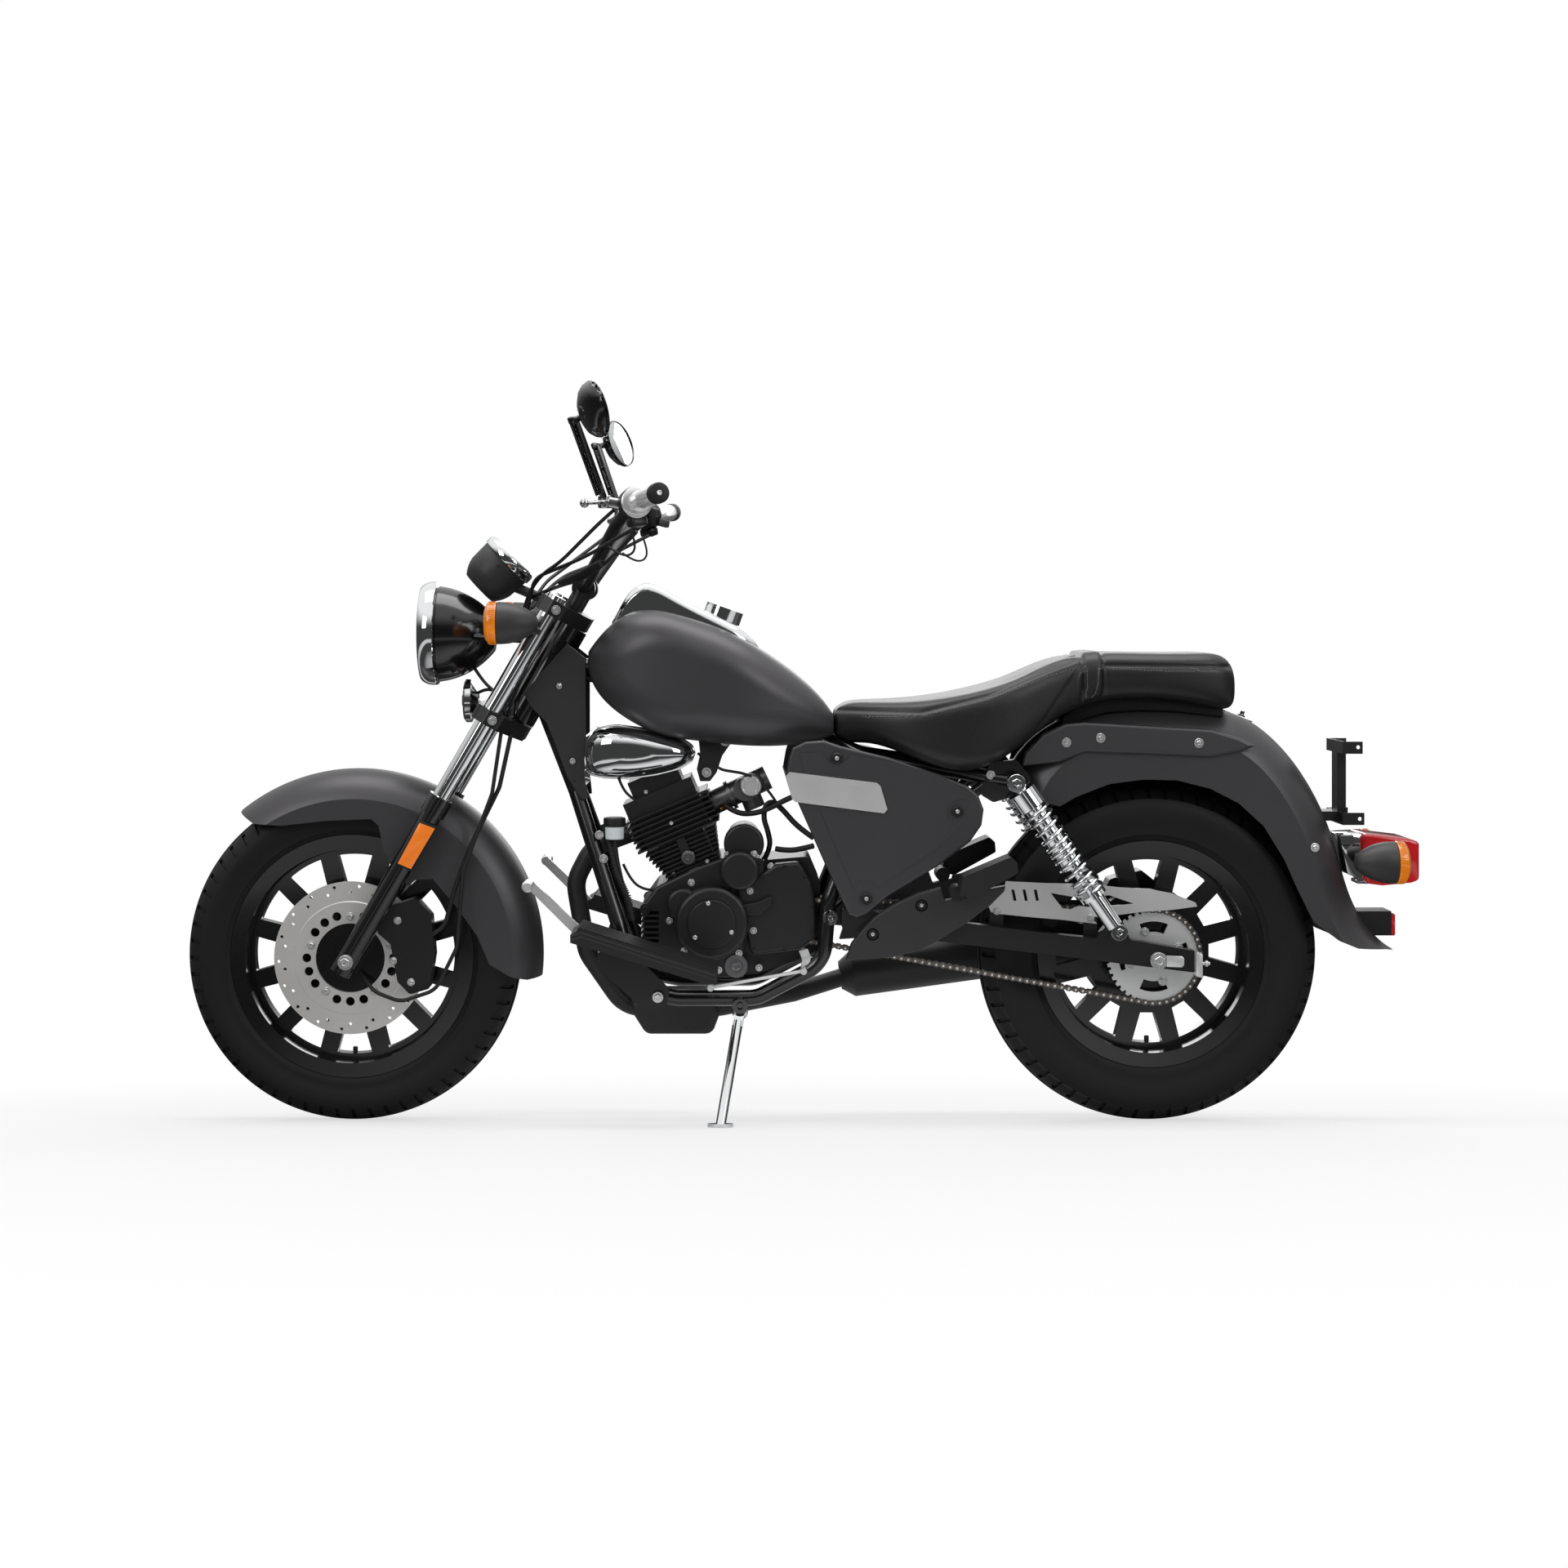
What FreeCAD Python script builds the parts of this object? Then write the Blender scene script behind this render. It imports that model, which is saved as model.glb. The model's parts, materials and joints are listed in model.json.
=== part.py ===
import FreeCAD, Part
import math
import os
import Sketcher

Vector = FreeCAD.Vector

# The front points to -X, the rider's left is -Y and +Z is up. Lengths are millimetres,
# given for the machine standing upright with X = 0 midway between the axles.
# At the end every piece gets the same lean, so that the machine rests on its side stand.

doc = FreeCAD.newDocument("cruiser")
sheet = doc.addObject("Spreadsheet::Sheet", "sizes")
doc.recompute()


class Size:
    """A number that also knows the sheet formula it came from."""

    def __init__(self, number, formula):
        self.number = number
        self.formula = formula

    def __float__(self):
        return float(self.number)

    def __neg__(self):
        return Size(-self.number, "-(%s)" % self.formula)

    def __add__(self, other):
        other = as_size(other)
        return Size(self.number + other.number, "(%s + %s)" % (self.formula, other.formula))

    def __sub__(self, other):
        other = as_size(other)
        return Size(self.number - other.number, "(%s - %s)" % (self.formula, other.formula))

    def __mul__(self, other):
        other = as_size(other)
        return Size(self.number * other.number, "(%s * %s)" % (self.formula, other.formula))

    def __truediv__(self, other):
        other = as_size(other)
        return Size(self.number / other.number, "(%s / %s)" % (self.formula, other.formula))

    __radd__ = __add__
    __rmul__ = __mul__

    def __rsub__(self, other):
        return as_size(other) - self


def as_size(thing):
    """A Size for a plain number, or the Size itself."""
    if isinstance(thing, Size):
        return thing
    return Size(float(thing), repr(float(thing)))


next_row = 1


def size(name, number):
    """Write one driving dimension in the sheet and give it back by name."""
    global next_row
    sheet.set("A%d" % next_row, name)
    sheet.set("B%d" % next_row, repr(number))
    sheet.setAlias("B%d" % next_row, name)
    next_row += 1
    return Size(float(number), "sizes." + name)


# Wheels and where they stand
wheelbase = size("wheelbase", 1440)
front_tyre_radius = size("front_tyre_radius", 302)
rear_tyre_radius = size("rear_tyre_radius", 307)
crown_radius = size("crown_radius", 60)
crown_half_width = size("crown_half_width", 46)
front_tyre_half_width = size("front_tyre_half_width", 56)
rear_tyre_half_width = size("rear_tyre_half_width", 66)
front_rim_radius = size("front_rim_radius", 219)
rear_rim_radius = size("rear_rim_radius", 204)
rim_lip = size("rim_lip", 15)
rim_wall = size("rim_wall", 11)
front_rim_half_width = size("front_rim_half_width", 40)
rear_rim_half_width = size("rear_rim_half_width", 48)
rim_flange_width = size("rim_flange_width", 5)
spoke_count = size("spoke_count", 12)
spoke_width = size("spoke_width", 33)
spoke_half_depth = size("spoke_half_depth", 13)
window_inner_radius = size("window_inner_radius", 112)
hub_radius = size("hub_radius", 36)
hub_half_width = size("hub_half_width", 60)
hub_flange_overlap = size("hub_flange_overlap", 8)
axle_radius = size("axle_radius", 7.5)
axle_play = size("axle_play", 0.3)
side_play = size("side_play", 0.5)

# Brake discs and the rear drive
disc_radius = size("disc_radius", 137)
disc_inner_radius = size("disc_inner_radius", 62)
carrier_radius = size("carrier_radius", 102)
carrier_rise = size("carrier_rise", 1.5)
carrier_hole_circle = size("carrier_hole_circle", 78)
carrier_hole_radius = size("carrier_hole_radius", 8)
vent_radius = size("vent_radius", 3)
vent_circle = size("vent_circle", 119)
vent_step = size("vent_step", 10)
vent_count = size("vent_count", 18)
disc_bolt_count = size("disc_bolt_count", 5)
disc_thickness = size("disc_thickness", 5)
rear_disc_radius = size("rear_disc_radius", 115)
chain_pitch = size("chain_pitch", 12.7)
rear_tooth_count = size("rear_tooth_count", 41)
front_tooth_count = size("front_tooth_count", 16)
sprocket_thickness = size("sprocket_thickness", 6)
tooth_rise = size("tooth_rise", 1.2)
tooth_depth = size("tooth_depth", 5)
carrier_hub_radius = size("carrier_hub_radius", 40)
slot_count = size("slot_count", 4)
slot_inner_radius = size("slot_inner_radius", 44)
slot_outer_radius = size("slot_outer_radius", 63)
chain_line = size("chain_line", 81)
chain_half_height = size("chain_half_height", 6)
chain_half_width = size("chain_half_width", 8)
chain_groove_rise = size("chain_groove_rise", 1.8)
chain_play = size("chain_play", 0.6)
link_waist = size("link_waist", 1.8)
front_sprocket_x = size("front_sprocket_x", 45)
front_sprocket_z = size("front_sprocket_z", 378)

# Front end
rake_angle = size("rake_angle", 30)
fork_offset = size("fork_offset", 45)
leg_spacing = size("leg_spacing", 97)
tube_radius = size("tube_radius", 17)
slider_radius = size("slider_radius", 19.5)
collar_radius = size("collar_radius", 23)
slider_foot = size("slider_foot", 26)
slider_top = size("slider_top", 336)
collar_length = size("collar_length", 34)
lower_clamp_height = size("lower_clamp_height", 502)
upper_clamp_height = size("upper_clamp_height", 728)
clamp_thickness = size("clamp_thickness", 27)
head_play = size("head_play", 2)
head_tube_radius = size("head_tube_radius", 29)
stem_radius = size("stem_radius", 12)
stem_play = size("stem_play", 0.5)

# Frame tubes
frame_tube_radius = size("frame_tube_radius", 14)
backbone_radius = size("backbone_radius", 20)
seat_rail_radius = size("seat_rail_radius", 12)
cradle_half_width = size("cradle_half_width", 112)
cradle_height = size("cradle_height", 237)
pivot_x = size("pivot_x", 140)
pivot_z = size("pivot_z", 382)
arm_inner = size("arm_inner", 100)
arm_thickness = size("arm_thickness", 25)
arm_height = size("arm_height", 38)

# Handlebar and mirrors
bar_radius = size("bar_radius", 12)
mirror_half_width = size("mirror_half_width", 72)
mirror_half_height = size("mirror_half_height", 49)
mirror_depth = size("mirror_depth", 20)
mirror_tilt = size("mirror_tilt", 18)

# Tail
plate_ear_spread = size("plate_ear_spread", 60)
plate_hole_radius = size("plate_hole_radius", 3.5)

# Rear springs
spring_radius = size("spring_radius", 26)
spring_wire = size("spring_wire", 3.5)
spring_turns = size("spring_turns", 10)

# Covers
cover_line = size("cover_line", 125)
cover_depth = size("cover_depth", 10)
panel_rise = size("panel_rise", 1.5)
washer_radius = size("washer_radius", 10)
washer_rise = size("washer_rise", 4)
rail_stand_off = size("rail_stand_off", 10.4)
plate_thickness = size("plate_thickness", 5)
neck_cover_thickness = size("neck_cover_thickness", 4)
heel_guard_depth = size("heel_guard_depth", 22)
recess_radius = size("recess_radius", 11)
fender_rail_depth = size("fender_rail_depth", 12)
guard_thickness = size("guard_thickness", 3)

# Lean on the side stand
lean_angle = size("lean_angle", 9)
stand_pivot_x = size("stand_pivot_x", -20)
stand_pivot_y = size("stand_pivot_y", 140)
stand_pivot_z = size("stand_pivot_z", 222)
stand_length = size("stand_length", 223)
stand_forward = size("stand_forward", 34)
stand_tube_radius = size("stand_tube_radius", 9)
doc.recompute()

FRONT_AXLE = Vector(-float(wheelbase) / 2, 0, float(front_tyre_radius))
REAR_AXLE = Vector(float(wheelbase) / 2, 0, float(rear_tyre_radius))
NODES = {}


def node(name, thing):
    """Keep an object as a finished piece under its own label."""
    thing.Label = name
    NODES[name] = thing
    return thing


def piece(name, shape):
    """A finished piece from a computed shape."""
    thing = doc.addObject("Part::Feature", name)
    thing.Shape = shape
    return node(name, thing)


def bind(thing, prop, value):
    """Set a property from a Size, by expression."""
    value = as_size(value)
    thing.setExpression(prop, value.formula)


def plane_of(body, role):
    """One of the body's own origin planes."""
    return [plane for plane in body.Origin.OriginFeatures if plane.Role == role][0]


def sketch_in(body, role, name, height=0):
    """An empty sketch on an origin plane of the body, lifted by a height."""
    drawing = body.newObject("Sketcher::SketchObject", name)
    drawing.AttachmentSupport = [(plane_of(body, role), "")]
    drawing.MapMode = "FlatFace"
    bind(drawing, "AttachmentOffset.Base.z", height)
    return drawing


def arc_between(start, end, radius):
    """Arc with its centre left of the way from start to end, or right if the radius is negative."""
    middle = (start + end) * 0.5
    half = (end - start).Length / 2
    across = Vector(-(end - start).y, (end - start).x, 0).normalize()
    side = 1 if radius > 0 else -1
    centre = middle + across * (side * math.sqrt(radius * radius - half * half))
    outward = (middle - centre).normalize()
    top = centre + outward * abs(radius)
    return Part.Arc(start, top, end) if radius > 0 else Part.Arc(end, top, start)


def draw(drawing, corners):
    """Closed outline; a corner is (x, y), or (x, y, radius) where an arc leads to it."""
    places = [Vector(float(corner[0]), float(corner[1]), 0) for corner in corners]
    first = drawing.GeometryCount
    for index, corner in enumerate(corners):
        start = places[index - 1]
        if len(corner) == 3:
            drawing.addGeometry(arc_between(start, places[index], float(corner[2])), False)
        else:
            drawing.addGeometry(Part.LineSegment(start, places[index]), False)
    for index, corner in enumerate(corners):
        edge = first + index
        following = first + (index + 1) % len(corners)
        end = 1 if len(corner) == 3 and float(corner[2]) < 0 else 2
        following_corner = corners[(index + 1) % len(corners)]
        begin = 2 if len(following_corner) == 3 and float(following_corner[2]) < 0 else 1
        drawing.addConstraint(Sketcher.Constraint("Coincident", edge, end, following, begin))
        for axis, kind in ((0, "DistanceX"), (1, "DistanceY")):
            value = as_size(corner[axis])
            number = drawing.addConstraint(Sketcher.Constraint(kind, -1, 1, edge, end, value.number))
            drawing.setExpression("Constraints[%d]" % number, value.formula)
        if len(corner) == 3:
            radius = as_size(corner[2])
            radius = radius if radius.number > 0 else -radius
            number = drawing.addConstraint(Sketcher.Constraint("Radius", edge, radius.number))
            drawing.setExpression("Constraints[%d]" % number, radius.formula)


def circle_in(drawing, x, y, radius):
    """A bound circle in a sketch."""
    x, y, radius = as_size(x), as_size(y), as_size(radius)
    index = drawing.addGeometry(Part.Circle(Vector(x.number, y.number, 0), Vector(0, 0, 1), radius.number))
    for kind, value in (("DistanceX", x), ("DistanceY", y)):
        number = drawing.addConstraint(Sketcher.Constraint(kind, -1, 1, index, 3, value.number))
        drawing.setExpression("Constraints[%d]" % number, value.formula)
    number = drawing.addConstraint(Sketcher.Constraint("Radius", index, radius.number))
    drawing.setExpression("Constraints[%d]" % number, radius.formula)


def turned(name, corners):
    """Body turned about its own Y axis from (radius, y) corners."""
    body = doc.addObject("PartDesign::Body", name)
    drawing = sketch_in(body, "XY_Plane", name + "_profile")
    draw(drawing, corners)
    turn = body.newObject("PartDesign::Revolution", name + "_turn")
    turn.Profile = drawing
    turn.ReferenceAxis = (drawing, ["V_Axis"])
    turn.Angle = 360
    body.Tip = turn
    return body


def padded(name, corners, near, depth):
    """Body from a side outline, from its near distance to the left, outwards by a depth."""
    body = doc.addObject("PartDesign::Body", name)
    drawing = sketch_in(body, "XZ_Plane", name + "_outline", near)
    draw(drawing, corners)
    pad = body.newObject("PartDesign::Pad", name + "_pad")
    pad.Profile = drawing
    bind(pad, "Length", depth)
    body.Tip = pad
    return body


def add_boss(body, x, z, start, length, radius):
    """Round boss on a padded body, from a distance to the left outwards."""
    drawing = sketch_in(body, "XZ_Plane", body.Name + "_boss_circle", start)
    circle_in(drawing, x, z, radius)
    pad = body.newObject("PartDesign::Pad", body.Name + "_boss")
    pad.Profile = drawing
    bind(pad, "Length", length)
    body.Tip = pad
    return body


def add_pocket(body, name, outlines, start, depth):
    """Sink outlines into a padded body, from a distance to the left inwards."""
    drawing = sketch_in(body, "XZ_Plane", name + "_outlines", start)
    for outline in outlines:
        if len(outline) == 3:
            circle_in(drawing, *outline)
        else:
            draw(drawing, outline)
    pocket = body.newObject("PartDesign::Pocket", name)
    pocket.Profile = drawing
    bind(pocket, "Length", depth)
    body.Tip = pocket
    return body


def add_panel(body, name, outlines, start, rise):
    """Raise outlines from a padded body, from a distance to the left outwards."""
    drawing = sketch_in(body, "XZ_Plane", name + "_outlines", start)
    for outline in outlines:
        draw(drawing, outline)
    pad = body.newObject("PartDesign::Pad", name)
    pad.Profile = drawing
    bind(pad, "Length", rise)
    body.Tip = pad
    return body


def round_face(body, distance, radius):
    """Round the edges of the face that lies at a distance to the left."""
    doc.recompute()
    base = body.Tip
    names = ["Edge%d" % (number + 1) for number, edge in enumerate(base.Shape.Edges)
             if all(abs(vertex.Y + float(distance)) < 0.001 for vertex in edge.Vertexes)]
    fillet = body.newObject("PartDesign::Fillet", body.Name + "_rounding")
    fillet.Base = (base, names)
    bind(fillet, "Radius", radius)
    body.Tip = fillet
    return body


def mirrored(thing):
    """The same piece on the other side of the middle plane."""
    copy = doc.addObject("Part::Mirroring", thing.Name + "_right")
    copy.Source = thing
    copy.Normal = Vector(0, 1, 0)
    return copy


def both_sides(name, thing):
    """One finished node with the left piece and its mirror image."""
    pair = doc.addObject("Part::Compound", name)
    pair.Links = [thing, mirrored(thing)]
    return node(name, pair)


def mirror_shape(shape):
    """A shape mirrored to the other side of the middle plane."""
    return shape.mirror(Vector(0, 0, 0), Vector(0, 1, 0))


def pair_shape(shape):
    """Left and right shapes together."""
    return Part.makeCompound([shape, mirror_shape(shape)])


def rod(start, end, radius):
    """Round bar between two points."""
    start, end = Vector(*start), Vector(*end)
    return Part.makeCylinder(float(radius), (end - start).Length, start, end - start)


def lathe(base, direction, outline):
    """Solid turned about a line, from (distance along it, radius) corners."""
    places = [Vector(radius, 0, along) for along, radius in outline]
    solid = Part.Face(Part.makePolygon(places + places[:1])).revolve(Vector(), Vector(0, 0, 1), 360)
    solid.Placement = FreeCAD.Placement(Vector(*base), FreeCAD.Rotation(Vector(0, 0, 1), Vector(*direction)))
    return solid


def soften(shape, across, radius):
    """Round the edges that lie at one place across the machine."""
    edges = [edge for edge in shape.Edges
             if all(abs(vertex.Y - across) < 0.001 for vertex in edge.Vertexes)]
    return shape.makeFillet(radius, edges)


def button(x, z, near, far, radius, rounding):
    """Round cover on the left side, its outer edge rounded."""
    return soften(rod((x, near, z), (x, far, z), radius), far, rounding)


def flat_bar(start, end, width, thickness):
    """Flat bar between two points, its width as near fore and aft as it can be."""
    start, end = Vector(*start), Vector(*end)
    along = (end - start).normalize()
    side = along.cross(Vector(1, 0, 0)).normalize()
    fore = side.cross(along).normalize()
    corner = start - fore * (width / 2) - side * (thickness / 2)
    face = Part.Face(Part.makePolygon([
        corner, corner + fore * width, corner + fore * width + side * thickness,
        corner + side * thickness, corner]))
    return face.extrude(end - start)


def largest(shape):
    """The biggest solid of a shape that cuts have split."""
    return sorted(shape.Solids, key=lambda solid: solid.Volume)[-1]


def bent_path(points, bend):
    """Straight runs joined by tangent arcs."""
    points = [Vector(*point) for point in points]
    edges = []
    last = points[0]
    for before, corner, after in zip(points, points[1:], points[2:]):
        to_before = (before - corner).normalize()
        to_after = (after - corner).normalize()
        half_angle = to_before.getAngle(to_after) / 2
        longest = 0.45 * min((before - corner).Length, (after - corner).Length)
        setback = min(bend / math.tan(half_angle), longest)
        radius = setback * math.tan(half_angle)
        start = corner + to_before * setback
        end = corner + to_after * setback
        inward = (to_before + to_after).normalize()
        middle = corner + inward * (radius / math.sin(half_angle) - radius)
        edges.append(Part.LineSegment(last, start).toShape())
        edges.append(Part.Arc(start, middle, end).toShape())
        last = end
    edges.append(Part.LineSegment(last, points[-1]).toShape())
    return Part.Wire(edges)


def tube(points, radius, bend):
    """Round tube along a bent path: a cylinder for each run and a torus piece for each bend."""
    solids = []
    for edge in bent_path(points, bend).Edges:
        start = edge.valueAt(edge.FirstParameter)
        end = edge.valueAt(edge.LastParameter)
        if isinstance(edge.Curve, Part.Circle):
            ring = Part.Face(Part.Wire(Part.makeCircle(float(radius), start, edge.tangentAt(
                edge.FirstParameter))))
            turn = math.degrees(edge.LastParameter - edge.FirstParameter)
            solids.append(ring.revolve(edge.Curve.Center, edge.Curve.Axis, turn))
        else:
            solids.append(rod(start, end, radius))
    return solids[0].fuse(solids[1:]).removeSplitter()


def side_plate(points, near, far, corner=0):
    """Plate from a side outline between two distances along Y, its corners rounded."""
    places = [Vector(x, float(near), z) for x, z in points]
    if corner:
        wire = rounded_loop(places, corner)
    else:
        wire = Part.makePolygon(places + places[:1])
    return Part.Face(wire).extrude(Vector(0, float(far) - float(near), 0))


def rounded_loop(places, corner):
    """Closed loop of lines with its corners rounded."""
    edges = []
    tangents = []
    count = len(places)
    for index in range(count):
        before, here, after = places[index - 1], places[index], places[(index + 1) % count]
        to_before = (before - here).normalize()
        to_after = (after - here).normalize()
        half_angle = to_before.getAngle(to_after) / 2
        longest = 0.45 * min((before - here).Length, (after - here).Length)
        setback = min(corner / math.tan(half_angle), longest)
        radius = setback * math.tan(half_angle)
        inward = (to_before + to_after).normalize()
        middle = here + inward * (radius / math.sin(half_angle) - radius)
        tangents.append((here + to_before * setback, middle, here + to_after * setback))
    for index in range(count):
        start, middle, end = tangents[index]
        edges.append(Part.Arc(start, middle, end).toShape())
        edges.append(Part.LineSegment(end, tangents[(index + 1) % count][0]).toShape())
    return Part.Wire(edges)


def section(x, half_width, low, high, corner):
    """Rounded rectangle across the machine at one X."""
    places = [
        Vector(x, -half_width, low),
        Vector(x, -half_width, high),
        Vector(x, half_width, high),
        Vector(x, half_width, low),
    ]
    return rounded_loop(places, corner)


def along_steering(distance, behind=0.0, side=0.0):
    """Point by its distance up the steering axis and behind it."""
    rake = math.radians(float(rake_angle))
    up = Vector(math.sin(rake), 0, math.cos(rake))
    back = Vector(math.cos(rake), 0, -math.sin(rake))
    foot = FRONT_AXLE + back * float(fork_offset)
    return foot + up * distance + back * behind + Vector(0, side, 0)


# Wheels, each turned about its own axle line

CROWN_FLATS = 4
FLANK_SHARE = 0.5
GAP_SHARE = 0.3
SLOT_HALF_TURN = 24


def make_tyre(name, radius, half_width, rim_radius, rim_half_width):
    """Tyre from bead to crown; it fills the rim well. Its crown is a few flats along one arc."""
    crown_turn = math.asin(float(crown_half_width) / float(crown_radius))
    crown_centre = radius - crown_radius
    crown = []
    for step in range(CROWN_FLATS + 1):
        angle = crown_turn * (1 - 2 * step / CROWN_FLATS)
        crown.append((crown_centre + crown_radius * math.cos(angle), crown_radius * math.sin(angle)))
    bead = rim_radius - rim_lip
    flank = rim_radius + (radius - rim_radius) * FLANK_SHARE
    return turned(name, [
        (bead, -rim_half_width),
        (bead, rim_half_width),
        (rim_radius, rim_half_width),
        (flank, half_width),
    ] + crown + [
        (flank, -half_width),
        (rim_radius, -rim_half_width),
    ])


def make_rim(name, rim_radius, rim_half_width, left_flange, right_flange):
    """Cast wheel: hub, pierced web, barrel and lips, with a boss each side for what bolts on."""
    bead = rim_radius - rim_lip
    well = bead - rim_wall
    edge = rim_half_width + rim_flange_width
    bore = axle_radius + axle_play
    body = turned(name, [
        (bore, -hub_half_width),
        (left_flange, -hub_half_width),
        (left_flange, -hub_half_width + 8),
        (hub_radius, -hub_half_width + 14),
        (hub_radius + 6, -spoke_half_depth),
        (well - 3, -spoke_half_depth),
        (well, -edge),
        (rim_radius, -edge),
        (rim_radius, -rim_half_width),
        (bead, -rim_half_width),
        (bead, rim_half_width),
        (rim_radius, rim_half_width),
        (rim_radius, edge),
        (well, edge),
        (well - 3, spoke_half_depth),
        (hub_radius + 6, spoke_half_depth),
        (hub_radius, hub_half_width - 14),
        (right_flange, hub_half_width - 8),
        (right_flange, hub_half_width),
        (bore, hub_half_width),
    ])
    window = sketch_in(body, "XZ_Plane", name + "_window")
    outer = well - 8
    half_turn = math.pi / spoke_count.number
    inner_half = window_inner_radius * math.sin(half_turn) - spoke_width / 2
    outer_half = outer * math.sin(half_turn) - spoke_width / 2
    draw(window, [
        (inner_half, window_inner_radius),
        (outer_half, outer * math.cos(half_turn)),
        (-outer_half, outer * math.cos(half_turn), outer),
        (-inner_half, window_inner_radius),
    ])
    pocket = body.newObject("PartDesign::Pocket", name + "_windows")
    pocket.Profile = window
    pocket.Type = "ThroughAll"
    pocket.Midplane = True
    around(body, pocket, spoke_count)
    return body


def hole_pattern(body, name, count, holes):
    """Round holes through a turned body, given as (radius, angle, hole radius) and repeated around it."""
    drawing = sketch_in(body, "XZ_Plane", name + "_circles")
    for radius, angle, hole in holes:
        turn = math.radians(angle)
        circle_in(drawing, radius * math.sin(turn), radius * math.cos(turn), hole)
    pocket = body.newObject("PartDesign::Pocket", name)
    pocket.Profile = drawing
    pocket.Type = "ThroughAll"
    pocket.Midplane = True
    return around(body, pocket, count)


def around(body, feature, count):
    """Repeat a feature around the body's own Y axis."""
    doc.recompute()
    pattern = body.newObject("PartDesign::PolarPattern", feature.Name + "_pattern")
    pattern.Originals = [feature]
    pattern.Axis = (body.Origin.OriginFeatures[1], [""])
    pattern.Angle = 360
    bind(pattern, "Occurrences", count)
    body.Tip = pattern
    return pattern


def make_disc(name, radius, side, vents):
    """Brake disc on the hub's end face, on the left (-1) or the right (1): a ring on a thicker carrier."""
    inner = hub_half_width * side
    ring = (hub_half_width + disc_thickness) * side
    carrier = (hub_half_width + disc_thickness + carrier_rise) * side
    body = turned(name, [
        (disc_inner_radius, inner),
        (radius, inner),
        (radius, ring),
        (carrier_radius * (radius / disc_radius), ring),
        (carrier_radius * (radius / disc_radius) - carrier_rise, carrier),
        (disc_inner_radius, carrier),
    ])
    step = 360 / float(disc_bolt_count) / 4
    hole_pattern(body, name + "_carrier_holes", disc_bolt_count, [
        (carrier_hole_circle, step * place_index, carrier_hole_radius) for place_index in (1, 2, 3)])
    if vents:
        hole_pattern(body, name + "_vents", vent_count, [
            (vent_circle, 0, vent_radius), (vent_circle + vent_step, 7, vent_radius)])
    return body


def place(thing, point):
    """Put a body at a point of the upright machine."""
    thing.Placement = FreeCAD.Placement(point, FreeCAD.Rotation())
    return thing


def chain_radius(teeth):
    """Pitch radius of a sprocket with this many teeth."""
    return chain_pitch * teeth / (2 * math.pi)


def wheels():
    front = make_tyre("front_tyre", front_tyre_radius, front_tyre_half_width,
                      front_rim_radius, front_rim_half_width)
    rear = make_tyre("rear_tyre", rear_tyre_radius, rear_tyre_half_width,
                     rear_rim_radius, rear_rim_half_width)
    flange = disc_inner_radius + hub_flange_overlap
    front_rim = make_rim("front_rim", front_rim_radius, front_rim_half_width, flange, hub_radius + 2)
    rear_rim = make_rim("rear_rim", rear_rim_radius, rear_rim_half_width, flange, flange)
    for thing in (front, front_rim):
        place(node(thing.Name, thing), FRONT_AXLE)
    for thing in (rear, rear_rim):
        place(node(thing.Name, thing), REAR_AXLE)
    place(node("front_disc", make_disc("front_disc", disc_radius, -1, True)), FRONT_AXLE)
    place(node("rear_disc", make_disc("rear_disc", rear_disc_radius, 1, False)), REAR_AXLE)
    place(node("rear_sprocket", make_sprocket()), REAR_AXLE)


def make_sprocket():
    """Toothed wheel with kidney slots, on a carrier that reaches to the hub."""
    tip = chain_radius(rear_tooth_count) + tooth_rise
    near = -chain_line + sprocket_thickness / 2
    far = -chain_line - sprocket_thickness / 2
    body = turned("rear_sprocket", [
        (axle_radius + axle_play, -hub_half_width),
        (carrier_hub_radius, -hub_half_width),
        (carrier_hub_radius, near),
        (tip, near),
        (tip, far),
        (axle_radius + axle_play, far),
    ])
    gap = sketch_in(body, "XZ_Plane", "tooth_gap")
    half_gap = chain_pitch * GAP_SHARE
    draw(gap, [(-half_gap, tip + 1), (-half_gap / 2, tip - tooth_depth), (half_gap / 2, tip - tooth_depth),
               (half_gap, tip + 1)])
    notch = body.newObject("PartDesign::Pocket", "tooth_gaps")
    notch.Profile = gap
    notch.Type = "ThroughAll"
    notch.Midplane = True
    around(body, notch, rear_tooth_count)
    slot = sketch_in(body, "XZ_Plane", "kidney_slot", -near)
    turn = math.radians(SLOT_HALF_TURN)
    corners = []
    for radius, sign in ((slot_outer_radius, -1), (slot_outer_radius, 1), (slot_inner_radius, 1),
                         (slot_inner_radius, -1)):
        corners.append((radius * math.sin(sign * turn), radius * math.cos(turn)))
    corners[1] += (-slot_outer_radius,)
    corners[3] += (slot_inner_radius,)
    draw(slot, corners)
    kidney = body.newObject("PartDesign::Pocket", "kidney_slots")
    kidney.Profile = slot
    kidney.Type = "ThroughAll"
    kidney.Reversed = True
    around(body, kidney, slot_count)
    return body


def chain_line_points(rise):
    """Ends of the two straight runs and the far points of the two bends, raised from the pitch line."""
    small = float(chain_radius(front_tooth_count)) + rise
    large = float(chain_radius(rear_tooth_count)) + rise
    start = Vector(float(front_sprocket_x), 0, float(front_sprocket_z))
    line = REAR_AXLE - start
    along = Vector(line).normalize()
    normal = Vector(-along.z, 0, along.x)
    tilt = (large - small) / line.Length
    shift = along * -tilt
    reach = normal * math.sqrt(1 - tilt * tilt)
    return [start + (shift + reach) * small, REAR_AXLE + (shift + reach) * large, REAR_AXLE + along * large,
            REAR_AXLE + (shift - reach) * large, start + (shift - reach) * small, start - along * small]


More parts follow.
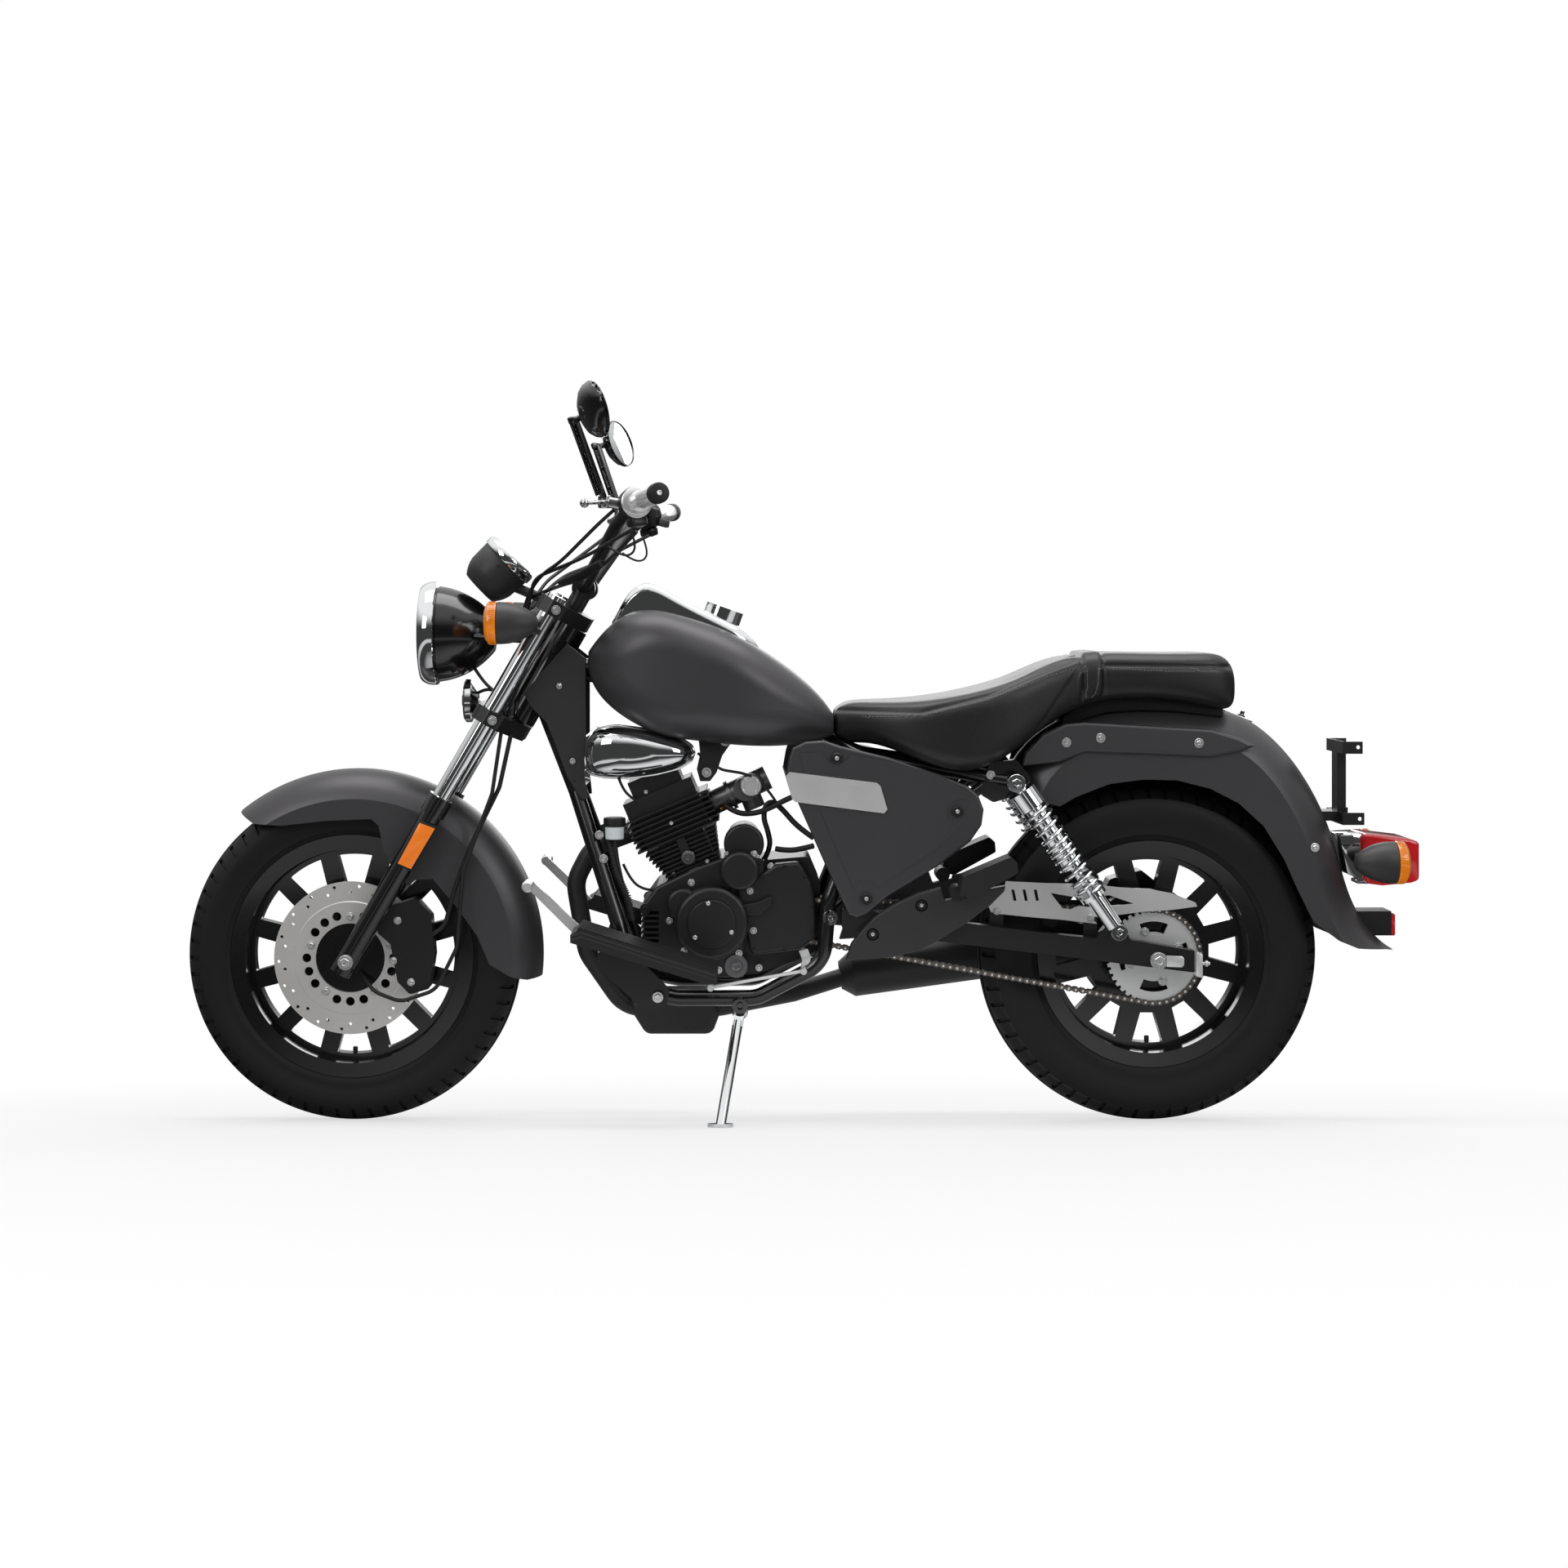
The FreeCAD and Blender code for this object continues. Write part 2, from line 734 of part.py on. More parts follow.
def chain_wire(rise):
    """Closed line around both sprockets, raised by a height from the chain's pitch line."""
    upper_front, upper_rear, rear, lower_rear, lower_front, front = chain_line_points(rise)
    return Part.Wire([
        Part.LineSegment(upper_front, upper_rear).toShape(),
        Part.Arc(upper_rear, rear, lower_rear).toShape(),
        Part.LineSegment(lower_rear, lower_front).toShape(),
        Part.Arc(lower_front, front, upper_front).toShape(),
    ])


def chain_loop(rise, near, far):
    """Solid loop around both sprockets between two places across the machine."""
    wire = chain_wire(rise)
    wire.translate(Vector(0, near, 0))
    return Part.Face(wire).extrude(Vector(0, far - near, 0))


def link_loop(height, near, far):
    """Solid loop whose rim steps in and out from link to link."""
    line = chain_wire(0)
    count = 2 * round(line.Length / (2 * float(chain_pitch)))
    waist = float(link_waist)
    points = line.discretize(Number=2 * count + 1)[:-1]
    ahead = points[1:] + points[:1]
    behind = points[-1:] + points[:-1]
    places = []
    for index, (point, after, before) in enumerate(zip(points, ahead, behind)):
        outward = Vector(-(after - before).z, 0, (after - before).x).normalize()
        rise = height - (waist if index % 2 else 0)
        places.append(point + outward * rise + Vector(0, near, 0))
    return Part.Face(Part.makePolygon(places + places[:1])).extrude(Vector(0, far - near, 0))


def drive_chain():
    left = -float(chain_line) - float(chain_half_width)
    right = -float(chain_line) + float(chain_half_width)
    height = float(chain_half_height)
    groove = float(sprocket_thickness) / 2 + float(chain_play)
    band = link_loop(height, left, right).cut(chain_loop(-height, left - 1, right + 1))
    middle = -float(chain_line)
    slot = chain_loop(float(chain_groove_rise), middle - groove, middle + groove)
    piece("drive_chain", band.cut(slot))


# Frame and swingarm

def frame():
    radius = float(frame_tube_radius)
    side = float(cradle_half_width)
    low = float(cradle_height)
    head = Part.makeCylinder(
        float(head_tube_radius), float(upper_clamp_height) - float(lower_clamp_height)
        - float(clamp_thickness) - 2 * float(head_play),
        along_steering(float(lower_clamp_height) + float(clamp_thickness) / 2 + float(head_play)),
        along_steering(1) - along_steering(0))
    neck = along_steering(float(lower_clamp_height) + 68)
    down = tube([
        (neck.x + 10, -12, neck.z), (-316, -38, 600), (-236, -100, 365),
        (-205, -side, low + 14), (-130, -side, low), (10, -side, low + 1),
        (128, -side, 300), (137, -side, 410), (196, -96, 560), (212, -80, 650),
    ], radius, 60)
    backbone = rod(along_steering(float(upper_clamp_height) - 88), (150, 0, 700), backbone_radius)
    rail = tube([
        (130, -12, 704), (200, -80, 664), (400, -98, 632), (470, -112, 622),
    ], seat_rail_radius, 60)
    strut = rod((140, -side + 6, 400), (430, -104, 628), 10)
    pivot_end = side + 18
    pivot_tube = rod((float(pivot_x), -pivot_end, float(pivot_z)),
                     (float(pivot_x), pivot_end, float(pivot_z)), 8)
    shock_plate = side_plate([(405, 600), (425, 655), (470, 662), (498, 628), (480, 600), (430, 585)],
                             -108, -114, 10)
    cross = rod((205, -80, 640), (205, 80, 640), 10)
    upper_pin = rod((466, -112, 622), (466, -160, 622), 6)
    shape = head.fuse([backbone, pivot_tube, cross, down, mirror_shape(down), rail, mirror_shape(rail),
                       strut, mirror_shape(strut), upper_pin, mirror_shape(upper_pin),
                       shock_plate, mirror_shape(shock_plate)])
    bore = Part.makeCylinder(float(stem_radius) + float(stem_play), 400, along_steering(450),
                             along_steering(1) - along_steering(0))
    return shape.cut(bore).removeSplitter()


GUARD_BOLTS = ((437, 391), (604, 380))


def swingarm(frame_shape):
    near = float(arm_inner)
    far = near + float(arm_thickness)
    half = float(arm_height) / 2
    arm = side_plate([
        (160, 380 + half), (560, 331 + half), (610, 345), (634, 374), (658, 374), (672, 342),
        (790, 303 + half), (790, 303 - half), (560, 331 - half), (160, 380 - half),
    ], -near, -far, 8)
    slot = side_plate([(704, 314.5), (758, 307.5), (758, 292.5), (704, 299.5)], -near + 1, -far - 1)
    lower_pin = rod((647, -far, 360), (647, -160, 360), 6)
    cross = rod((300, -near, 366), (300, near, 366), 14)
    link = side_plate([(130, 367), (130, 395), (250, 390), (250, 356)], -88, -97)
    pad = side_plate([(162, 364), (162, 394), (250, 390), (250, 356)], -97, -near)
    tabs = [side_plate([(x - 12, z - 42), (x - 12, z + 6), (x + 12, z + 6), (x + 12, z - 42)],
                       -near + 4, -near, 6) for x, z in GUARD_BOLTS]
    half_arm = arm.fuse([lower_pin, link, pad] + tabs).cut(slot)
    pivot = rod((float(pivot_x), -97, float(pivot_z)), (float(pivot_x), 97, float(pivot_z)), 17)
    hole = rod((float(pivot_x), -200, float(pivot_z)), (float(pivot_x), 200, float(pivot_z)), 8)
    return half_arm.fuse([mirror_shape(half_arm), cross, pivot]).cut(hole).cut(frame_shape)


# Engine

CYLINDER_BASE = Vector(-106, 0, 466)
CYLINDER_LEAN = 23


def tilted_box(across_low, across_high, half_depth, along_low, along_high):
    """Box in the cylinder's own tilted frame."""
    box = Part.makeBox(across_high - across_low, 2 * half_depth, along_high - along_low,
                       Vector(across_low, -half_depth, along_low))
    box.rotate(Vector(0, 0, 0), Vector(0, 1, 0), -CYLINDER_LEAN)
    box.translate(CYLINDER_BASE)
    return box


def engine():
    case = side_plate([
        (-197, 325), (-197, 395), (-170, 432), (-100, 466), (-52, 484), (-10, 470), (30, 478),
        (104, 484), (124, 437), (124, 318), (92, 301), (10, 272), (-60, 270), (-149, 300),
    ], -90, 95, 14)
    case = soften(soften(case, -90, 6), 95, 6)
    for step in range(6):
        case = case.cut(Part.makeBox(40, 220, 6, Vector(-205, -110, 333 + 10 * step)))
    swing = (float(pivot_x), float(pivot_z))
    case = case.cut(rod((swing[0], -200, swing[1]), (swing[0], 200, swing[1]), float(arm_height) / 2 + 2))
    barrel = tilted_box(-44, 44, 50, -30, 60)
    fins = [tilted_box(-52 - 3 * step, 52 + 2.4 * step, 66, -2 + 8 * step, 1.4 + 8 * step)
            for step in range(7)]
    head = tilted_box(-62, 62, 58, 56, 120)
    head_fins = [tilted_box(-80, 78, 76, 58 + 9.5 * step, 61.4 + 9.5 * step) for step in range(7)]
    cover = tilted_box(-72, 60, 62, 116, 150).fuse(tilted_box(-50, 44, 52, 150, 182))
    cover = cover.removeSplitter()
    post = tilted_box(-8, 8, 68, 4, 56)
    cap = rod((-113, -50, 483), (-113, -72, 483), 13)
    block = barrel.fuse(fins + [head, cover, post, cap] + head_fins)
    gearbox_face = side_plate([(-14, 250), (140, 250), (140, 500), (-14, 500)], -62, -91)
    case = case.cut(block).cut(gearbox_face)
    piece("engine_case", largest(case))
    piece("cylinder", block)
    big = button(-70, 371, -90, -128, 65, 9).fuse([
        button(-70, 371, -126, -133, 43, 2), button(-122, 404, -90, -116, 28, 7)])
    small = button(-21, 463, -90, -120, 35, 8)
    starter = button(-13, 508, -60, -88, 36, 6).fuse(rod((-13, -78, 508), (-13, 60, 508), 30))
    lug = side_plate([(-50, 484), (22, 484), (22, 430), (-50, 430)], -60, -94, 8)
    gearbox = side_plate([
        (-30, 440), (14, 455), (44, 474), (88, 478), (108, 440), (116, 400), (118, 345), (90, 322),
        (0, 310),
    ], -62, -100, 14)
    gearbox = soften(gearbox, -100, 7)
    lever = soften(side_plate([(-18, 385), (-20, 402), (14, 408), (38, 420), (36, 404), (14, 384)],
                              -98, -112, 4), -112, 2)
    gearbox = gearbox.fuse(lever).cut(chain_loop(12, -92, -68))
    output = rod((float(front_sprocket_x), -62, float(front_sprocket_z)),
                 (float(front_sprocket_x), -78, float(front_sprocket_z)), 14)
    teeth = rod((float(front_sprocket_x), -78, float(front_sprocket_z)),
                (float(front_sprocket_x), -84, float(front_sprocket_z)),
                float(chain_radius(front_tooth_count)) + float(chain_groove_rise))
    covers = big.fuse([small, gearbox, output, teeth, starter, lug]).cut(case).cut(block)
    piece("engine_covers", covers)
    return case, block, covers


# Bodywork

COVER_BOLTS = ((151, 665), (364, 571), (203, 417))
RIB_COUNT = 5
RIB_STEP = 6.6
PLATE_SLOPE = 0.12


def lofted(stations, corner):
    """Smooth body through rounded sections given as (x, half width, low, high)."""
    return Part.makeLoft([section(x, half, low, high, corner) for x, half, low, high in stations],
                         True, False)


def tank_and_console(frame_shape):
    tank = lofted([
        (-293, 60, 822, 852), (-277, 92, 780, 874), (-245, 118, 746, 906), (-185, 138, 712, 927),
        (-100, 147, 693, 909), (-10, 143, 684, 872), (70, 118, 684, 820), (120, 92, 692, 776),
        (148, 70, 702, 738),
    ], 70)
    tunnel = side_plate([(-300, 600), (-300, 814), (152, 700), (152, 600)], -20, 20)
    tank = tank.cut(tunnel).cut(frame_shape)
    piece("fuel_tank", tank)
    console = lofted([
        (-252, 30, 860, 908), (-232, 42, 870, 942), (-200, 48, 880, 974), (-150, 48, 880, 962),
        (-80, 46, 860, 925), (0, 34, 840, 880), (14, 20, 838, 862),
    ], 18)
    cap = rod((-60, 0, 895), (-47, 0, 931), 35)
    piece("tank_console", console.fuse(cap).cut(tank))
    return tank


def fender_ridge():
    """Centre line along the top of the rear fender."""
    ridge = Part.BSplineCurve()
    ridge.interpolate([Vector(x, 0, z) for x, z in [
        (455, 600), (520, 700), (623, 748), (712, 756), (801, 753), (883, 737), (950, 692),
        (1009, 618), (1046, 544), (1068, 477), (1091, 403), (1128, 343), (1169, 309),
    ]])
    return ridge


def rear_fender():
    ridge = fender_ridge()
    start = ridge.value(ridge.FirstParameter)
    along = Vector(*ridge.tangent(ridge.FirstParameter)[0])
    inward = Vector(0, 1, 0).cross(along).normalize()
    if inward.z > 0:
        inward = -inward

    def arch(half, rise, depth):
        """Closed arch section: flat sides and a round crown."""
        down = inward * depth
        shoulder = inward * 62
        left, right = Vector(0, -half, 0), Vector(0, half, 0)
        top = start - inward * rise
        return Part.Wire([
            Part.LineSegment(start + left + down, start + left + shoulder).toShape(),
            Part.Arc(start + left + shoulder, top, start + right + shoulder).toShape(),
            Part.LineSegment(start + right + shoulder, start + right + down).toShape(),
            Part.LineSegment(start + right + down, start + left + down).toShape(),
        ])

    def swept(half, rise, depth):
        shell = Part.BRepOffsetAPI.MakePipeShell(Part.Wire([ridge.toShape()]))
        shell.setBiNormalMode(Vector(0, 1, 0))
        shell.add(arch(half, rise, depth))
        shell.build()
        shell.makeSolid()
        return shell.shape()

    outer = swept(92, 0, 200)
    inner = swept(89, -3, 230)
    trim = side_plate([
        (430, 560), (482, 541), (535, 567), (580, 593), (639, 616), (699, 624), (759, 623),
        (819, 608), (870, 582), (915, 541), (952, 481), (975, 429), (1004, 370), (1050, 336),
        (1086, 321), (1146, 314), (1300, 280), (1300, 900), (400, 900),
    ], -150, 150)
    shell = outer.cut(inner).common(trim)
    piece("rear_fender", shell)
    return outer


def seat(others):
    cushion = lofted([
        (150, 62, 705, 742), (200, 95, 688, 762), (280, 135, 667, 764), (390, 150, 642, 780),
        (470, 140, 678, 804), (540, 118, 728, 834), (600, 108, 756, 848), (700, 108, 768, 850),
        (800, 104, 758, 850), (850, 92, 748, 842), (868, 74, 758, 815),
    ], 34)
    for other in others:
        cushion = cushion.cut(other)
    solids = sorted(cushion.Solids, key=lambda solid: solid.Volume)
    piece("seat", solids[-1])


def covers():
    neck = padded("neck_cover", [
        (-409, 777), (-399, 755), (-368, 724), (-331, 627), (-305, 585), (-293, 588),
        (-300, 656), (-297, 702), (-297, 840), (-331, 867),
    ], 56, neck_cover_thickness)
    both_sides("neck_covers", round_face(neck, neck_cover_thickness + 56, neck_cover_thickness / 2))
    both_sides("side_covers", side_cover())
    both_sides("cover_plates", ribbed_plate())
    heel = padded("heel_guard", [
        (167, 309), (176, 337), (194, 361), (217, 385), (253, 408), (294, 427), (334, 437),
        (342, 415), (378, 421), (380, 428), (448, 440), (446, 431), (423, 408), (382, 376),
        (323, 340), (294, 326), (244, 314),
    ], cover_line, heel_guard_depth)
    round_face(heel, cover_line + heel_guard_depth, 3)
    add_pocket(heel, "heel_guard_recesses", [(300, 406, recess_radius), (214, 355, recess_radius)],
               cover_line + heel_guard_depth, 6)

    both_sides("heel_guards", heel)
    rail = padded("fender_rail", [
        (482, 648), (549, 656), (594, 674), (719, 670), (820, 665), (870, 674), (899, 685),
        (870, 699), (820, 714), (719, 720), (594, 727), (559, 724), (518, 704), (488, 672),
    ], 92, fender_rail_depth)
    both_sides("fender_rails", round_face(rail, fender_rail_depth + 92, fender_rail_depth / 2))


def side_cover():
    """Triangular cover with a rounded rim, a raised panel and three fixing bosses."""
    body = padded("side_cover", [
        (66, 663), (72, 683), (95, 694), (129, 696), (158, 686), (244, 666), (330, 637),
        (381, 617), (401, 600), (411, 574), (407, 546), (387, 517), (330, 474), (244, 422),
        (204, 388), (187, 382), (172, 388), (129, 480), (95, 557), (61, 634),
    ], cover_line, cover_depth)
    face = cover_line + cover_depth
    round_face(body, face, 5)
    add_panel(body, "side_cover_panel", [[
        (85, 673), (126, 677), (175, 672, 25.5), (252, 658), (335, 635), (387, 603), (382, 590),
        (353, 550, 25.0), (366, 539), (323, 502), (222, 436), (182, 433, 21.0), (120, 576),
        (92, 647),
    ]], face, panel_rise)
    for number, (x, z) in enumerate(COVER_BOLTS):
        add_boss(body, x, z, face, washer_rise, washer_radius)
    return add_boss(body, 365, 568, cover_line - rail_stand_off, rail_stand_off + 1, 9)


def ribbed_plate():
    """Bright plate on the side cover with two groups of raised ribs."""
    start = cover_line + cover_depth + panel_rise
    body = padded("cover_plate", [
        (60, 632), (67, 641), (221, 622), (228, 616), (240, 575), (234, 568), (78, 588), (72, 593),
    ], start, plate_thickness)
    ribs = []
    for first, last in ((86, 124), (172, 210)):
        for step in range(RIB_COUNT):
            low = 627 - RIB_STEP * step
            left, right = first + 2 * step, last + 2 * step
            drop = (right - left) * PLATE_SLOPE
            base = low - (left - 86) * PLATE_SLOPE
            ribs.append([(left, base), (left, base + 3), (right, base + 3 - drop), (right, base - drop)])
    return add_panel(body, "plate_ribs", ribs, start + plate_thickness, 1)


PLATE_EARS = ((668, 690, 1100, 1092, 680), (540, 562, 1103, 1095, 551))
BULLET = ((0, 0), (14, 4), (37, 62, 90.0), (37, 70), (35.5, 71), (38, 72), (38, 86), (33, 91), (0, 94))


def tail():
    fender = NODES["rear_fender"].Shape
    post = side_plate([(1064, 545), (1080, 545), (1080, 690), (1064, 690)], -20, 20)
    post = post.cut(side_plate([(1067, 540), (1085, 540), (1085, 700), (1067, 700)], -17, 17))
    parts = [post]
    reach = float(plate_ear_spread)
    for low, high, back, hole_x, hole_z in PLATE_EARS:
        strap = side_plate([(1064, low), (1067, low), (1067, high), (1064, high)], -reach, reach)
        ear = side_plate([(1064, low), (back, low), (back, high), (1064, high)], reach - 3, reach)
        hole = rod((hole_x, -200, hole_z), (hole_x, 200, hole_z), plate_hole_radius)
        parts.append(strap.fuse([ear, mirror_shape(ear)]).cut(hole))
    foot = side_plate([(1030, 545), (1067, 545), (1067, 562), (1030, 562)], -30, 30)
    bracket = parts[0].fuse(parts[1:] + [foot]).cut(fender)
    bracket = [solid for solid in bracket.Solids if solid.BoundBox.XMax > 1060]
    reflector = side_plate([(1085, 381), (1160, 381), (1160, 376), (1166, 376), (1166, 337), (1155, 337),
                            (1120, 337)], -28, 28).cut(fender)
    outside = [solid for solid in reflector.Solids if solid.CenterOfMass.x > 1120]
    piece("plate_bracket", Part.makeCompound(bracket + outside))
    base = side_plate([(1060, 522), (1104, 524), (1108, 436), (1075, 450)], -42, 42)
    lens = side_plate([(1104, 524), (1204, 512), (1204, 437), (1138, 430), (1108, 434)], -55, 55, 6)
    lens = soften(soften(lens, -55, 5), 55, 5)
    lamp = base.fuse(lens).cut(fender)
    lamp = largest(Part.makeCompound([solid for solid in lamp.Solids if solid.CenterOfMass.x > 1080]))
    piece("tail_lamp", lamp)
    bullet = turned("rear_bullet", BULLET)
    bullet.Placement = FreeCAD.Placement(
        Vector(1070, -120, 479), FreeCAD.Rotation(Vector(0, 0, 1), -90))
    doc.recompute()
    stalk = rod((1110, -50, 479), (1110, -120, 479), 9).cut(lamp).cut(fender)
    left = bullet.Shape.fuse(stalk)
    piece("rear_indicators", pair_shape(left))


def suspension():
    """Left and right shock absorbers: body with eyes, and a coil spring around it."""
    top = Vector(466, -145, 622)
    bottom = Vector(647, -145, 360)
    along = (bottom - top).normalize()
    length = (bottom - top).Length
    spring_start, spring_end = 54, length - 82
    eye_top = rod((466, -133, 622), (466, -157, 622), 16)
    eye_low = rod((647, -133, 360), (647, -157, 360), 15)
    inside = float(spring_radius) - 2 * float(spring_wire) - 0.4
    barrel = lathe(top, along, [
        (8, 0), (8, 10), (16, 12), (18, 25.5), (spring_start - 2, 25.5), (spring_start, 22),
        (spring_start, inside),
        (length - 140, inside), (length - 138, 8), (spring_end, 8), (spring_end, 24), (spring_end + 8, 24),
        (spring_end + 10, 16), (length - 12, 15), (length - 8, 0),
    ])
    holes = [rod((466, -200, 622), (466, 0, 622), 6), rod((647, -200, 360), (647, 0, 360), 6)]
    body = barrel.fuse([eye_top, eye_low]).cut(holes[0]).cut(holes[1])
    piece("shock_bodies", pair_shape(body))
    turns = int(float(spring_turns))
    pitch = (spring_end - spring_start) / turns
    outer, root = float(spring_radius), float(spring_radius) - float(spring_wire)
    outside = [(spring_start, root)]
    for turn in range(turns):
        middle = spring_start + (turn + 0.5) * pitch
        outside += [(middle - pitch * 0.22, outer), (middle + pitch * 0.22, outer),
                    (middle + pitch * 0.5, root)]
    inner = root - float(spring_wire)
    coil = lathe(top, along, outside + [(spring_end, inner), (spring_start, inner)])
    piece("shock_springs", pair_shape(coil))


GUARD_SLOTS = (463, 483, 503)


def chain_guard():
    """Thin plate over the chain with slots and a long window."""
    body = padded("chain_guard_plate", [
        (453, 444), (527, 440.5), (568, 440), (643, 434), (708, 430), (747, 423), (791, 406),
        (794, 399), (750, 393), (693, 389), (649, 383), (604, 380), (616, 368), (556, 375),
        (497, 380), (438, 386), (427, 389), (423, 397.5), (450, 429),
    ], arm_inner, guard_thickness)
    slots = []
    for x in GUARD_SLOTS:
        slots.append([(x, 429), (x + 5.3, 429), (x + 9.3, 409), (x + 4, 409)])
    window = [(533, 423), (554, 396), (568, 394), (583, 400), (600, 398), (650, 401), (681, 404),
              (637, 419), (586, 414)]
    add_pocket(body, "guard_openings", slots + [window], arm_inner + guard_thickness, guard_thickness)

    node("chain_guard", body)


# Foot controls and the stand's bracket

RIB_ROWS = 8


def footrests():
    board = side_plate([(-310, 373), (-293, 383), (-58, 308), (-60, 290), (-78, 289), (-310, 360)],
                       -178, -288)
    ribs = []
    for step in range(RIB_ROWS):
        across = -182 - 13.6 * step
        ribs.append(side_plate([(-306, 372), (-294, 386), (-60, 311), (-60, 300)], across, across - 8))
    board = board.fuse(ribs)
    piece("footboards", pair_shape(board))
    plate = side_plate([(-275, 305), (-262, 343), (-225, 343), (-143, 262), (-150, 228), (-190, 228)],
                       -166, -174, 16)
    lower_rod = rod((-164, -100, 250), (-164, -166, 250), 9)
    upper_rod = rod((-240, -170, 333), (-240, -240, 333), 8)
    bolt = rod((-164, -174, 250), (-164, -181, 250), 9)
    bracket = plate.fuse([lower_rod, upper_rod, bolt]).cut(board).cut(NODES["frame"].Shape)
    piece("footboard_brackets", pair_shape(largest(bracket)))
    arm = side_plate([(-392, 443), (-384, 456), (-262, 340), (-250, 318), (-262, 314)], -184, -192)
    arm = arm.cut(board)
    peg = lathe((-388, -190, 449), (0, -1, 0), [(0, 0), (0, 8), (8, 10), (40, 10), (44, 7), (44, 0)])
    lever = arm.fuse(peg).cut(board)
    piece("foot_controls", pair_shape(largest(lever)))
    peg_block = side_plate([(367, 463), (450, 498), (461, 489), (463, 470), (385, 427), (360, 430)],
                           -150, -210, 5)
    pivot = rod((361, -126, 430), (361, -175, 430), 13)
    guard = NODES["heel_guards"].Shape
    piece("passenger_pegs", pair_shape(largest(peg_block.fuse(pivot).cut(guard))))


def exhaust(others):
    header = tube([
        (-215, 20, 520), (-290, 20, 492), (-322, 20, 430), (-300, 20, 300), (-230, 20, 200),
        (-60, 40, 196), (80, 120, 210), (190, 172, 236),
    ], 17, 60)
    chamber = side_plate([(-225, 215), (-190, 160), (-70, 160), (-55, 200), (-70, 232), (-190, 232)],
                         -45, 70, 18)
    chamber = soften(soften(chamber, -45, 12), 70, 12)
    start, end = Vector(170, 175, 234), Vector(790, 185, 318)
    length = (end - start).Length
    muffler = lathe(start, end - start, [
        (0, 0), (0, 26), (24, 43), (length - 36, 43), (length - 30, 38), (length, 38), (length, 33),
        (length - 60, 33), (length - 60, 0),
    ])
    shape = header.fuse([chamber, muffler])
    for other in others:
        shape = shape.cut(other)
    shape = largest(shape)
    piece("exhaust", shape)
    return shape


def intake(others):
    pod = side_plate([
        (-298, 640), (-300, 690), (-280, 716), (-240, 719), (-159, 706), (-113, 690), (-102, 673),
        (-113, 647), (-159, 633), (-220, 624), (-270, 628),
    ], -60, -104, 14)
    pod = soften(pod, -104, 18)
    neck = rod((-200, -62, 668), (-200, 10, 668), 20)
    shape = pod.fuse(neck)
    for other in others:
        shape = shape.cut(other)
    piece("air_cleaner", largest(shape))
    body = rod((-88, 0, 566), (30, 0, 622), 22).fuse([
        rod((-10, -24, 602), (-10, 24, 602), 22), rod((0, -38, 610), (0, 38, 610), 17),
        rod((-6, 0, 600), (8, 0, 566), 19), button(0, 610, -36, -46, 21, 3),
        rod((-40, 0, 588), (-34, 0, 591), 27)])
    for other in others:
        body = body.cut(other)
    piece("carburettor", largest(body))


# Front end that turns with the handlebar

def leg_point(distance, side):
    """Point on a fork leg's centre line."""
    return along_steering(distance, -float(fork_offset), side)


def fork():
    side = -float(leg_spacing)
    tubes = rod(leg_point(float(slider_top), side), leg_point(float(upper_clamp_height) + 22, side),
                tube_radius)
    piece("fork_tubes", pair_shape(tubes))
    slider = rod(leg_point(-float(slider_foot), side), leg_point(float(slider_top), side), slider_radius)
    collar = rod(leg_point(float(slider_top) - float(collar_length), side),
                 leg_point(float(slider_top), side), collar_radius)
    boss = rod((-603, -75, 503), (-603, -97, 503), 12)
    hole = rod((FRONT_AXLE.x, -200, FRONT_AXLE.z), (FRONT_AXLE.x, 200, FRONT_AXLE.z), axle_radius)
    sliders = pair_shape(slider.fuse([collar, boss]).cut(hole))
    piece("fork_sliders", sliders)
    clamps = []
    for height in (float(lower_clamp_height), float(upper_clamp_height)):
        half = float(clamp_thickness) / 2
        outline = [(-72, -112), (-72, 112), (-46, 124), (-20, 122), (26, 40), (26, -40),
                   (-20, -122), (-46, -124)]
        places = [along_steering(height - half, behind, across) for behind, across in outline]
        slab = Part.Face(rounded_loop(places, 14)).extrude(
            (along_steering(1) - along_steering(0)) * float(clamp_thickness))
        clamps.append(slab)
    stem = rod(along_steering(float(lower_clamp_height)), along_steering(float(upper_clamp_height)),
               stem_radius)
    shape = clamps[0].fuse([clamps[1], stem]).cut(tubes).cut(mirror_shape(tubes))
    piece("fork_clamps", shape)
    reach = -side + float(slider_radius)
    axle = rod((FRONT_AXLE.x, -reach - 8, FRONT_AXLE.z), (FRONT_AXLE.x, reach + 8, FRONT_AXLE.z),
               axle_radius)
    heads = [rod((FRONT_AXLE.x, s * reach, FRONT_AXLE.z), (FRONT_AXLE.x, s * (reach + 8), FRONT_AXLE.z), 13)
             for s in (-1, 1)]
    inner = -side - float(slider_radius)
    spacers = [rod((FRONT_AXLE.x, s * inner, FRONT_AXLE.z),
                   (FRONT_AXLE.x, s * (float(hub_half_width) + float(side_play)), FRONT_AXLE.z), 14)
               for s in (-1, 1)]
    piece("front_axle", axle.fuse(heads + spacers).cut(sliders))
    return shape, pair_shape(tubes), sliders


